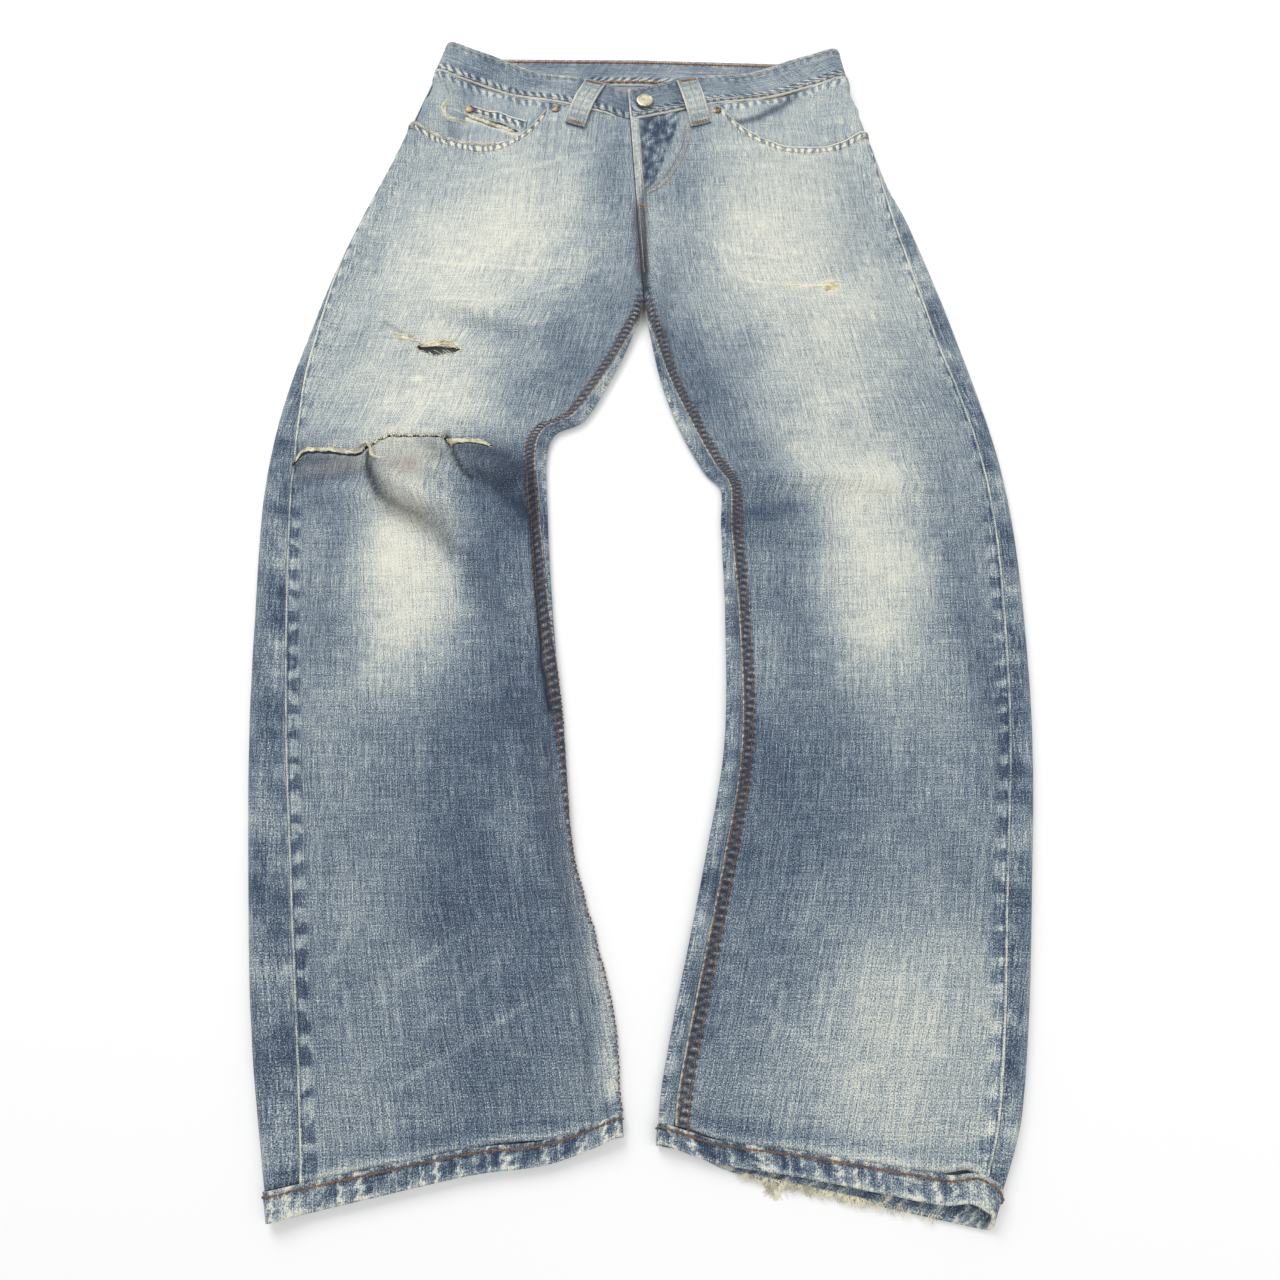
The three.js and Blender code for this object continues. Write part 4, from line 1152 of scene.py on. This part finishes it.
def flat_patch(name, node, low, high, rows, count, wear):
    """A patch lying face down on the floor, between its lower and its upper edge."""
    share = np.linspace(0, 1, count)
    knots = np.linspace(0, 1, len(low))
    low, high = (np.stack([np.interp(share, knots, xs) for xs in zip(*edge)], -1)
                 for edge in (low, high))
    k = np.linspace(0, 1, rows)[:, None, None]
    plan = low + (high - low) * k
    places = np.concatenate([plan, np.full((*plan.shape[:2], 1), CLOTH / 2)], -1)
    normals = np.broadcast_to(np.array([0, 0, -1.0]), places.shape)
    across = np.linalg.norm(plan - plan[:, :1], axis=-1)
    along = np.linalg.norm(plan - plan[:1], axis=-1)
    from_sides = np.minimum(across, across[:, -1:] - across)
    edge = np.minimum(from_sides, np.minimum(along, along[-1:] - along))
    marks = dict(fade_and_shade=wear + 0.25 * hump(edge, 0, 2), seam=edge, rope=0.8, course=along)
    piece = cloth(name, back_denim, "denim_back", places, normals, CLOTH, across, along, marks)
    laid(node, places)


BACK_LOOP = 8
BACK_LOOP_ENDS = (848, 902)
for name, x in (("right", -112), ("centre", 1), ("left", 112)):
    foot, head = ([(x - BACK_LOOP, y), (x + BACK_LOOP, y)] for y in BACK_LOOP_ENDS)
    flat_patch(f"loop_back_{name}_strip", f"loop_back_{name}", foot, head, 20, 8, 0.6)

# ==== Back pockets ==========================================================================
# A five-sided patch pocket on each back panel, with no decoration. It lies between the seat
# and the floor, and its edges are turned in and topstitched.
POCKET_FOOT = [(62, 640), (120, 622), (178, 656)]
POCKET_HEAD = [(54, 786), (118, 792), (180, 800)]
for name, leg in legs.items():
    low, high = ([(leg.side * x, y) for x, y in edge] for edge in (POCKET_FOOT, POCKET_HEAD))
    flat_patch(f"back_pocket_{name}_patch", f"back_pocket_{name}", low, high, 60, 50, 0.62)

# ==== Hems ==================================================================================
# Each leg ends in a narrow hem, turned twice and chain stitched, so it ropes: slanting puckers
# worn pale, and an edge rubbed through to white.
hem_denim = denim("roped hem denim", inner=(96, 106, 118))
HEM_THICK = 2.6
# the height of the chain stitch, and how far apart the puckers are
HEM_STITCH = 12.4
HEM_ROPE = 12.5


def hem_places(name, v, s):
    """Places on a hem's ring, with its narrow puckers where it is off the floor."""
    leg = legs[name]
    a = leg.section(v)
    wide = a["start"] + a["q"]
    share = np.clip(s / wide, 0, 1)
    on_top = smooth((s + 1) / 5) * smooth((wide - s + 3) / 6)
    away = np.minimum(np.abs(s), a["total"] - 2 * a["q"] - s)
    slant = 0.12 if name == "right" else -0.3
    uneven = 0.45 * np.sin(s / 19) + 0.3 * np.sin(s / 7.3) + 0.12 * np.sin(s / 2.9 + v)
    turn = (s - v * slant) / HEM_ROPE + uneven
    ridge = hump(turn % 1, 0.5, 0.12) * (0.75 + 0.25 * np.sin(s / 8.7))
    v = v + on_top * hem_lift(name, share) + inner_lift(name, np.maximum(away, 0))
    places, normals = leg.place(s, v, 0.5 * ridge * on_top, HEM_THICK / 2)
    if name == "left":
        # the outer corner curls up
        places[..., 2] += on_top * 5 * hump(share, 0.93, 0.05)
    return places, normals, share, on_top, ridge


for name, leg in legs.items():
    v = np.linspace(0, HEM_HEIGHT, 11)[:, None]
    a = leg.section(v)
    s = np.linspace(0, 1, 481)[None, :-1] * a["total"] - a["q"]
    v = v + 0 * s
    places, normals, share, on_top, ridge = hem_places(name, v, s)
    wear = mix(0.3, worn(name, share, v) - 0.2, on_top) - 0.1 * on_top + 0.75 * ridge
    edges = 0.35 * hump(v, 0, 2.6) + 0.2 * hump(v, HEM_HEIGHT, 2)
    corners = 0.35 * on_top * (hump(share, 0.06, 0.05) + 0.8 * hump(share, 0.93, 0.05))
    marks = dict(
        fade_and_shade=wear + edges + corners + 0.12 * np.sin(s / 4.1 + v / 3),
        seam=np.abs(v - HEM_STITCH) + 0.6,
        rope=0.3,
        # painted shade along the hem's stitch line
        shade=0.35 * on_top * hump(v, HEM_STITCH, 1.3),
        course=s,
    )
    hem = cloth(f"hem_{name}_turning", hem_denim, "denim_front", places, normals, HEM_THICK,
                s, v, marks, ring=True, lining=0.15)
    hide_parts(f"hem_{name}")

# ==== Seams and stitching ===================================================================
# Heavy golden and rust-brown thread, about 3 stitches to a centimetre: twin rows on the felled
# inseams, fly and pockets, single rows on the band and hems, and dense bar tacks at the loops.
def thread(name, colour, dark):
    """Twisted thread, rubbed and dulled in places."""
    f = Finish(name, Roughness=0.7, Sheen_Weight=0.2)
    place = f.put("TexCoord", out=3)
    worn_off = f.noise(place, (90, 90, 90), 2)
    twist = f.noise(place, (900, 900, 900), 1)
    tint = f.blend(f.band(worn_off, 0.4, 0.62), srgb(*dark), srgb(*colour))
    f.colour(f.blend(f.band(twist, 0.35, 0.65, 0, 0.45), tint, srgb(*(c * 0.72 for c in colour))))
    f.relief(twist, 0.0002, 0.5)
    return f.material


golden_thread = thread("golden thread", (196, 146, 82), (150, 106, 62))
rust_thread = thread("rust-brown thread", (138, 96, 66), (92, 72, 62))
orange_thread = thread("orange thread", (206, 142, 66), (170, 112, 56))
pale_thread = thread("pale thread", (206, 196, 168), (170, 150, 112))
# the one source of chance for all the stitches and yarns
chance = np.random.default_rng(14)
# a stitch: distance along it and height above the cloth, as shares of its length and thickness
STITCH = [(-0.5, -0.5), (-0.32, 0.35), (0, 0.55), (0.32, 0.35), (0.5, -0.5)]
STITCH_SIDES = 5


def stitch_faces():
    """The faces of one stitch: a bent rod of five rings, closed at both ends."""
    last = (len(STITCH) - 1) * STITCH_SIDES
    faces = []
    for ring in range(0, last, STITCH_SIDES):
        for j in range(STITCH_SIDES):
            k = (j + 1) % STITCH_SIDES
            above = ring + STITCH_SIDES
            faces += [[ring + j, ring + k, above + k], [ring + j, above + k, above + j]]
    for j in range(1, STITCH_SIDES - 1):
        faces += [[0, j + 1, j], [last, last + j, last + j + 1]]
    return np.array(faces)


def along_line(values, far, at):
    """Values given at distances `far` along a line, read off at other distances."""
    return np.stack([np.interp(at, far, values[:, c]) for c in range(3)], -1)


def distances(places):
    return np.r_[0, np.cumsum(np.linalg.norm(np.diff(places, axis=0), axis=1))]


def stitched(name, lines, material, pitch=3.2, length=2.6, thick=0.75):
    """Rows of stitches as one mesh. A line is its places and the cloth's normals."""
    middles, tangents, uppers = [], [], []
    for places, normals in lines:
        far = distances(places)
        at = np.arange(pitch / 2, far[-1], pitch)
        middles.append(along_line(places, far, at))
        uppers.append(along_line(normals, far, at))
        tangents.append(along_line(places, far, at + 0.5) - along_line(places, far, at - 0.5))
    m, t, n = (np.concatenate(part) for part in (middles, tangents, uppers))
    t = unit(t)
    n = unit(n - t * (n * t).sum(1, keepdims=True))
    b = np.cross(n, t)
    # stitches are never quite in line
    swing = chance.normal(0, 0.07, len(m))[:, None]
    t, b = t + b * swing, b - t * swing
    size = len(STITCH) * STITCH_SIDES
    points = np.empty((len(m), size, 3))
    for i, (along, up) in enumerate(STITCH):
        width = thick / 2 * (0.7 if abs(along) == 0.5 else 1)
        for j in range(STITCH_SIDES):
            angle = 2 * math.pi * j / STITCH_SIDES
            height = up * thick * 0.7 + width * math.sin(angle)
            points[:, i * STITCH_SIDES + j] = (m + t * along * length + n * height
                                               + b * width * math.cos(angle))
    points[..., 2] = np.maximum(points[..., 2], 0.02)
    faces = stitch_faces()[None] + (np.arange(len(m)) * size)[:, None, None]
    made(name, points.reshape(-1, 3), faces.reshape(-1, 3).tolist(), material)


def on_front(name, share, v, lift=CLOTH / 2 + 0.1):
    """A line on the front panel through shares and heights, with the panel's own unevenness."""
    share, v = np.broadcast_arrays(np.asarray(share, float), np.asarray(v, float))
    places, normals, *_ = front_places(name, v, share)
    return places + normals * lift, normals


def seam_share(name, v, away):
    """The share of the front that lies a distance in from its inner seam."""
    leg = legs[name]
    return away / (leg.side_seam(v) - leg.inside_seam(v) - SEAM_GAP)


TWIN_INSEAM = (1.8, 8.2)
inseam_rows = []
for name, leg in legs.items():
    v = np.linspace(HEM_HEIGHT + 2, leg.crotch - 4, 700)
    for away in TWIN_INSEAM:
        uneven = wander(v, (60, 23), 0.4, chance)
        inseam_rows.append(on_front(name, seam_share(name, v, away + uneven), v))
stitched("inseam_stitches", inseam_rows, rust_thread, thick=0.9)

TWIN_ROWS = (2.2, 8.5)
leg = legs["left"]
v = np.linspace(leg.crotch + 30, leg.waist - 4, 240)
fly_rows = [on_front("left", seam_share("left", v, away), v) for away in TWIN_ROWS]
stitched("fly_edge_stitches", fly_rows, pale_thread, thick=0.65)


def find(name, x, y, s, v):
    """The place (s, v) on the front of a leg that lies at (x, y) in plan, looked for from s, v."""
    leg = legs[name]
    step = 0.5
    for _ in range(30):
        here = leg.point(np.array([s, s + step, s]), np.array([v, v, v + step]))
        ds, dv = (here[1] - here[0])[:2] / step, (here[2] - here[0])[:2] / step
        ds, dv = np.linalg.solve(np.array([ds, dv]).T, np.array([x, y]) - here[0][:2])
        s, v = s + np.clip(ds, -40, 40), v + np.clip(dv, -80, 80)
        s = float(np.clip(s, 2, leg.section(v)["start"] - 1))
    return s, float(v)


def through(name, corners, count=120):
    """A smooth line on the front of a leg through places given in plan."""
    s, v = np.array([find(name, x, y, 60, legs[name].crotch) for x, y in corners]).T
    t = np.arange(len(s))
    fine = np.linspace(0, len(s) - 1, count)
    return curve(t, legs[name].share_of(s, v))(fine), curve(t, v)(fine)


# the curved rows that hold the fly's placket
PLACKET_ROW = [(52, 788), (51, 770), (46, 750), (38, 732), (28, 716), (18, 704), (9, 697)]
PLACKET_TWIN = [(x - 5.5, y + 1.5) for x, y in PLACKET_ROW]
placket_rows = [on_front("left", *through("left", row)) for row in (PLACKET_ROW, PLACKET_TWIN)]
stitched("placket_stitches", placket_rows, golden_thread, thick=0.65)

pocket_rows = []
share = np.linspace(0.41, 0.985, 220)
for name, leg in legs.items():
    for below in (3.2, 9.6):
        pocket_rows.append(on_front(name, share, leg.pocket_line(share) - below))
stitched("pocket_edge_stitches", pocket_rows, pale_thread, thick=0.7)

coin_rows = []
leg = legs["right"]
share = np.linspace(COIN_ENDS[0] + 0.01, COIN_ENDS[1] - 0.01, 90)
for below in (2.5, 8.5):
    v = leg.waist - COIN_TOP - below + 0 * share
    out = layer_depth(leg, v, LAYER) + CLOTH / 2 + 0.15
    coin_rows.append(leg.place(leg.across(share, v), v, out))
stitched("coin_pocket_stitches", coin_rows, golden_thread, thick=0.65)

# on the band, a row beside each edge outside; inside, an orange row at the foot and two at the top
places, normals, _ = band_places(np.array([0.09, 0.91]), band_pucker)
places, normals = places[:, LAP_COLUMNS:], normals[:, LAP_COLUMNS:]
band_rows = list(zip(places + normals * (BAND_THICK / 2 + 0.1), normals))
stitched("waistband_stitches", band_rows, pale_thread, thick=0.7)
inner = places - normals * (BAND_THICK / 2 + 0.2)
inner_rows = [(inner[i] - (0, 1.2 * i, 0), -normals[i]) for i in (0, 1, 1)]
stitched("waistband_inner_stitches", inner_rows, orange_thread, pitch=3.4, length=3.2, thick=1.7)

hem_rows = []
for name, leg in legs.items():
    a = leg.section(np.array(HEM_STITCH))
    top = np.linspace(-1.0, a["start"] + a["q"] + 2, 500)
    bottom = np.linspace(a["start"] + 2 * a["q"] + 4, a["total"] - a["q"] - 4, 300)
    for s, proud in ((top, 0.15), (bottom, -0.35)):
        places, normals, *_ = hem_places(name, HEM_STITCH + 0 * s, s)
        hem_rows.append((places + normals * (HEM_THICK / 2 + proud), normals))
stitched("hem_stitches", hem_rows, rust_thread, pitch=4, length=3.7, thick=1.3)

loop_rows, tacks = [], []
for name in legs:
    for offset in (-7.5, 0, 7.5):
        k = np.linspace(0.07, 0.93, 60)
        loop_rows.append(on_loop(name, k, offset, CLOTH / 2 + 0.1 + 0.35 * hump(abs(offset), 8, 2)))
    for k in (0.035, 0.06, 0.94, 0.965):
        tacks.append(on_loop(name, k, np.linspace(-9.5, 9.5, 30), CLOTH / 2 + 0.3))
stitched("loop_stitches", loop_rows, pale_thread, thick=0.6)

# bar tacks: close stitches across a short line, at the loops, the fly and the pockets' ends
for corners in ([(-2, 684), (6, 684)], [(-1, 682.5), (7, 682.5)], [(26, 716), (31, 709)]):
    tacks.append(on_front("left", *through("left", corners, 20)))
for name, leg in legs.items():
    pocket_end = leg.pocket_line(0.99)
    for away in (1.5, 3.0):
        v = np.linspace(pocket_end - 12, pocket_end - 2, 12)
        tacks.append(on_front(name, 1 - seam_share(name, v, away), v))
stitched("bar_tacks", tacks, golden_thread, pitch=0.8, length=1.5, thick=0.6)


def on_back(name, share, v):
    places, normals, *_ = back_places(name, v, share)
    return places + normals * (CLOTH / 2 + 0.1), normals


back_rows = []
share = np.linspace(0.02, 0.98, 300)
for name, leg in legs.items():
    for below in (2.5, 8.8):
        back_rows.append(on_back(name, share, yoke_line(name, share) - below))
    if name == "left":
        # the seat seam
        v = np.linspace(leg.crotch + 46, leg.waist - 6, 200)
        width = leg.back_end(v) - leg.side_seam(v)
        back_rows += [on_back(name, 1 - away / width, v) for away in TWIN_ROWS]
outline = np.array(POCKET_HEAD[:1] + POCKET_FOOT + POCKET_HEAD[:0:-1] + POCKET_HEAD[:1], float)
outward = unit(outline - outline[:-1].mean(axis=0))
for side in (-1, 1):
    for away in (3, 9):
        corners = np.c_[(outline - outward * away * 1.3) * (side, 1), np.full(len(outline), 0.05)]
        far = distances(corners)
        places = along_line(corners, far, np.linspace(0, far[-1], 400))
        back_rows.append((places, np.broadcast_to(np.array([0, 0, -1.0]), places.shape)))
stitched("back_stitches", back_rows, golden_thread, thick=0.6)

# ==== Torn yarns ============================================================================
# Where the cloth has torn, the blue warp has broken away and the cream weft hangs loose: a
# fringe along the knee, yarns across the thigh hole, and fluff at the pocket and the hem.
def raw_yarn(name, colour):
    """Undyed cotton yarn, soiled in places."""
    f = Finish(name, Roughness=0.95, Sheen_Weight=0.3)
    place = f.put("TexCoord", out=3)
    soiled = f.noise(place, (120, 120, 120), 3)
    f.colour(f.blend(f.band(soiled, 0.42, 0.66), srgb(*colour), srgb(*(c * 0.78 for c in colour))))
    f.relief(f.noise(place, (1400, 1400, 1400), 1), 0.0002, 0.5)
    return f.material


cream_yarn = raw_yarn("raw cream yarn", (244, 238, 210))
yellow_yarn = raw_yarn("raw yellowed yarn", (240, 232, 178))
YARN_SIDES = 5
# places along a loose yarn, from its root to its tip
BROKEN = np.array([0.0, 0.35, 0.7, 1.0])
FLUFF = np.array([0.0, 0.4, 0.75, 1.0])
SHORT_YARN = np.linspace(0, 1, 5)
LONG_YARN = np.linspace(0, 1, 6)


def loose_yarns(name, paths, thick, material):
    """Yarns as one mesh of thin tubes. A path is a few places that the yarn passes through."""
    points, faces = [], []
    angle = 2 * math.pi * np.arange(YARN_SIDES) / YARN_SIDES
    first = 0
    for path in paths:
        path = np.array(path, float)
        count = max(8, 5 * len(path))
        t = np.linspace(0, len(path) - 1, count)
        line = np.stack([curve(np.arange(len(path)), path[:, c])(t) for c in range(3)], -1)
        line += chance.normal(0, 0.12, line.shape)
        tangent = unit(np.gradient(line, axis=0))
        side = unit(np.cross(tangent, (0.31, 0.17, 0.94)))
        upper = np.cross(side, tangent)
        # each end tapers
        taper = np.sin(np.linspace(0.12, math.pi - 0.12, count))
        size = thick / 2 * np.minimum(1, 0.35 + 1.3 * taper)
        outward = side[:, None] * np.cos(angle)[:, None] + upper[:, None] * np.sin(angle)[:, None]
        ring = line[:, None] + size[:, None, None] * outward
        ring[..., 2] = np.maximum(ring[..., 2], 0.05)
        points.append(ring.reshape(-1, 3))
        last = first + (count - 1) * YARN_SIDES
        for a in range(first, last, YARN_SIDES):
            for j in range(YARN_SIDES):
                k = (j + 1) % YARN_SIDES
                faces.append((a + j, a + k, a + YARN_SIDES + k, a + YARN_SIDES + j))
        faces.append(tuple(first + j for j in reversed(range(YARN_SIDES))))
        faces.append(tuple(last + j for j in range(YARN_SIDES)))
        first = last + YARN_SIDES
    made(name, np.concatenate(points), faces, material)


def front_at(name, share, v, lift):
    places, normals = on_front(name, share, v, 0)
    return places + normals * np.reshape(lift, (-1, 1))


def lip_at(lips, share):
    """The heights of a torn edge's two lips at one share."""
    low, high = lips(np.array([share, share]))
    return low[0], high[0]


# the knee: a rolled white edge on the outer half, a flap at the crease, and a loose bundle
knee = []
for strand in range(9):
    share = np.linspace(0.715, 0.99, 30)
    level = tear_lips(share)[1] - 1.6 + 0.33 * strand + ragged(share, (11, 23), 0.7, chance)
    lift = 0.7 + 0.5 * chance.random() + ragged(share, (9, 17), 0.4, chance)
    knee.append(front_at("right", share, level, lift))
for share in np.r_[chance.uniform(0.19, 0.70, 130), chance.uniform(0.7, 0.97, 30)]:
    high = lip_at(tear_lips, share)[1]
    drop = chance.uniform(0.4, 2.4)
    slant = chance.normal(0, 0.006) * BROKEN
    knee.append(front_at("right", share + slant, high + 0.8 - (drop + 0.8) * BROKEN,
                         0.6 + 0.5 * np.sin(BROKEN * 2.4)))
# the flap stands up at the crease, and a bundle of yarn hooks round it
FLAP_YARN = [(-247, 404, 0), (-242, 409, 1.5), (-237, 405, 2), (-234, 396, 1), (-227, 394, 0),
             (-220, 395, 0)]
flap_foot = front_at("right", [0.70], [553.0], 1.2)[0] * (0, 0, 1)
for strand in range(14):
    knee.append([flap_foot + p + chance.normal(0, 0.55, 3) for p in FLAP_YARN])
for strand in range(30):
    share = np.linspace(0.20, 0.365, 7) + chance.normal(0, 0.006)
    level = tear_lips(share)[1] - 0.8 + chance.normal(0, 0.9)
    level = level + ragged(share, (14, 25), 1.0, chance)
    knee.append(front_at("right", share, level, 0.9 + chance.uniform(0, 0.9)))
loose_yarns("knee_yarns", knee, 0.6, cream_yarn)

# the thigh hole: yarns left across its upper side, and broken ends round it
thigh = []
for strand in range(26):
    level = chance.uniform(-0.1, 1.0) ** 0.8 if strand % 3 else 1.0
    share = np.linspace(HOLE[0] + 0.01, HOLE[1] - 0.01, 8) + chance.normal(0, 0.004)
    low, high = hole_lips(share)
    knot = mix(low, high, 0.6 + 0.4 * abs(level)) + ragged(share, (18, 31), 1.1, chance)
    thigh.append(front_at("right", share, knot, 0.2 + chance.uniform(-0.2, 0.9)))
for strand in range(60):
    share = chance.uniform(HOLE[0] - 0.01, HOLE[1] + 0.01)
    low, high = lip_at(hole_lips, share)
    # two in three hang from the upper lip, and the rest stand up from the lower one
    root, way = (high + 0.6, -1) if strand % 3 else (low - 0.6, 0.4)
    slant = chance.normal(0, 0.012) * FLUFF
    thigh.append(front_at("right", share + slant, root + chance.uniform(1, 4) * FLUFF * way,
                          0.6 + 0.6 * np.sin(FLUFF * 2.5)))
# the nick beside the hole
for strand in range(26):
    share = 0.735 + chance.uniform(-0.075, 0.0) - 0.035 * SHORT_YARN
    thigh.append(front_at("right", share, HOLE_AT + 7.5 + chance.normal(0, 1.7) + 1.2 * SHORT_YARN,
                          0.7 + 0.3 * np.sin(SHORT_YARN * 3)))
loose_yarns("thigh_yarns", thigh, 0.55, cream_yarn)


def left_thigh(x, y):
    """The share and the height at a place on the left thigh, given in plan."""
    s, v = find("left", x, y, 150, 780)
    return legs["left"].share_of(s, np.array(v)), v


# the worn patch on the left thigh
patch = []
for strand in range(34):
    share, v = left_thigh(181 + chance.uniform(-8, 2), 583 + chance.uniform(-6, 6))
    share = share + SHORT_YARN * chance.uniform(0.015, 0.04)
    patch.append(front_at("left", share, v - 2.5 * SHORT_YARN + chance.normal(0, 0.4),
                          0.55 + 0.3 * np.sin(SHORT_YARN * 3)))
for strand in range(4):
    share, v = left_thigh(150 + chance.uniform(-18, 10), 584 + chance.uniform(-2, 2))
    patch.append(front_at("left", share + LONG_YARN * 0.07, v - 8 * LONG_YARN, 0.65 + 0 * LONG_YARN))
loose_yarns("thigh_patch_yarns", patch, 0.5, yellow_yarn)

# the right pocket: fluff along its edge and the torn coin pocket, and one hanging yarn
pocket = []
leg = legs["right"]
for strand in range(150):
    share = chance.uniform(0.62, 0.985)
    slant = chance.normal(0, 0.012) * FLUFF
    level = leg.pocket_line(share) - 0.8 + chance.uniform(0.5, 3.2) * FLUFF
    pocket.append(front_at("right", share + slant, level, 0.5 + 0.8 * np.sin(FLUFF * 2.2)))
for strand in range(220):
    share = chance.uniform(0.56, 0.79)
    slant = chance.normal(0, 0.02) * FLUFF
    level = lip_at(coin_tear, share)[0] - 1 + chance.uniform(0.5, 5.0) * FLUFF
    pocket.append(front_at("right", share + slant, level, -LAYER + 0.8 + 0.9 * np.sin(FLUFF * 2.2)))
HANGING_YARN = [(-199, 823, 16), (-204, 816, 17.5), (-204, 806, 17.5), (-199, 797, 17),
                (-190, 792, 17), (-178, 789, 16.5)]
for strand in range(12):
    pocket.append([np.array(p) + chance.normal(0, 1.1, 3) + (0, 0, 2) for p in HANGING_YARN])
loose_yarns("pocket_yarns", pocket, 0.45, cream_yarn)

# the left hem: ragged yarns hanging from the back layer
hem_fluff = []
leg = legs["left"]
a = leg.section(np.array(0.0))
front_round = a["start"] + a["q"]
for strand in range(230):
    s = float(np.clip(chance.normal(0.5, 0.16), 0.28, 0.9)) * front_round
    v = 2.5 - chance.uniform(2.5, 6.5) * BROKEN
    places = leg.place(s + chance.normal(0, 3) * BROKEN, v, 0 * BROKEN, HEM_THICK / 2)[0]
    places[:, 2] = 2.9 + chance.uniform(0, 0.8) - 1.2 * BROKEN
    hem_fluff.append(places)
for strand in range(22):
    s = (0.37 + chance.normal(0, 0.012)) * front_round
    s = s + chance.normal(0, 2.5) * np.sin(LONG_YARN * 4)
    v = 1 - chance.uniform(4, 12) * LONG_YARN
    places = leg.place(s, v, 0 * LONG_YARN, HEM_THICK / 2)[0]
    places[:, 2] = np.maximum(2.4 - 2 * LONG_YARN, 0.4)
    hem_fluff.append(places)
loose_yarns("hem_yarns", hem_fluff, 0.5, cream_yarn)

# ==== Button and rivets =====================================================================
# A domed shank button of pale, dulled brass, pressed through the left end of the band, and
# copper rivets at the pockets' corners, rubbed bright on their caps.
def metal(name, bright, dull, rough):
    """Plated metal, dulled in patches and finely scratched."""
    f = Finish(name, Metallic=0.85)
    place = f.put("TexCoord", out=3)
    rubbed = f.noise(place, (260, 260, 260), 4, 0.6)
    scratches = f.noise(place, (1800, 300, 900), 2)
    f.colour(f.blend(f.band(rubbed, 0.38, 0.66), srgb(*bright), srgb(*dull)))
    f.tree.links.new(f.band(rubbed, 0.3, 0.7, rough, rough + 0.25), f.shader.inputs["Roughness"])
    f.relief(f.sum(rubbed, f.swing(scratches, 0.3)), 0.0002, 0.4)
    return f.material


pale_brass = metal("pale dulled brass", (206, 201, 176), (158, 150, 124), 0.45)
copper = metal("dull copper", (158, 142, 120), (98, 84, 72), 0.45)
finishes = {"waist_button": pale_brass, "rivet_right": copper, "rivet_left": copper, "rivet_coin": copper}
for name, finish in finishes.items():
    for holder in bpy.data.objects[name].material_slots:
        holder.material = finish

# ==== Floor, lights and camera ==============================================================
# A plain white floor of matt paper, which the jeans lie on, under soft light from two large
# lamps and a white sky. The camera looks down steeply from over the middle of the legs.
REACH = 6
floor_mesh = bpy.data.meshes.new("floor")
floor_corners = [(-REACH, -REACH, 0), (REACH, -REACH, 0), (REACH, REACH, 0), (-REACH, REACH, 0)]
floor_mesh.from_pydata(floor_corners, [], [(0, 1, 2, 3)])
floor = bpy.data.objects.new("floor", floor_mesh)
bpy.context.collection.objects.link(floor)
paper = Finish("white floor", Roughness=0.9, Specular_IOR_Level=0.1)
clouds = paper.noise(paper.put("TexCoord", out=3), (3, 3, 3))
paper.colour(paper.blend(clouds, srgb(250, 250, 250), srgb(252, 252, 252)))
floor_mesh.materials.append(paper.material)

world = bpy.data.worlds.new("studio")
world.use_nodes = True
sky = world.node_tree.nodes["Background"]
sky.inputs["Color"].default_value = (1, 1, 1, 1)
sky.inputs["Strength"].default_value = 0.62
bpy.context.scene.world = world
LAMPS = [("key", (-0.9, 1.5, 1.7), 1.4, 34), ("fill", (1.3, -0.6, 1.9), 1.8, 12)]
for name, place, size, power in LAMPS:
    lamp = bpy.data.lights.new(name, "AREA")
    lamp.size = size
    lamp.energy = power
    light = bpy.data.objects.new(name, lamp)
    light.location = place
    light.rotation_euler = (-light.location).to_track_quat("-Z", "Y").to_euler()
    bpy.context.collection.objects.link(light)

CAMERA_HEIGHT = 0.605
CAMERA_TILT = 20.5
over_lay = SHIFT / 1000
lens = bpy.data.cameras.new("camera")
lens.lens = 22.5
lens.sensor_width = 36
lens.clip_start = 0.01
camera = bpy.data.objects.new("camera", lens)
camera.location = (over_lay[0], over_lay[1], CAMERA_HEIGHT)
camera.rotation_euler = (math.radians(CAMERA_TILT), 0, 0)
bpy.context.collection.objects.link(camera)
bpy.context.scene.camera = camera
bpy.context.scene.view_settings.view_transform = "Standard"
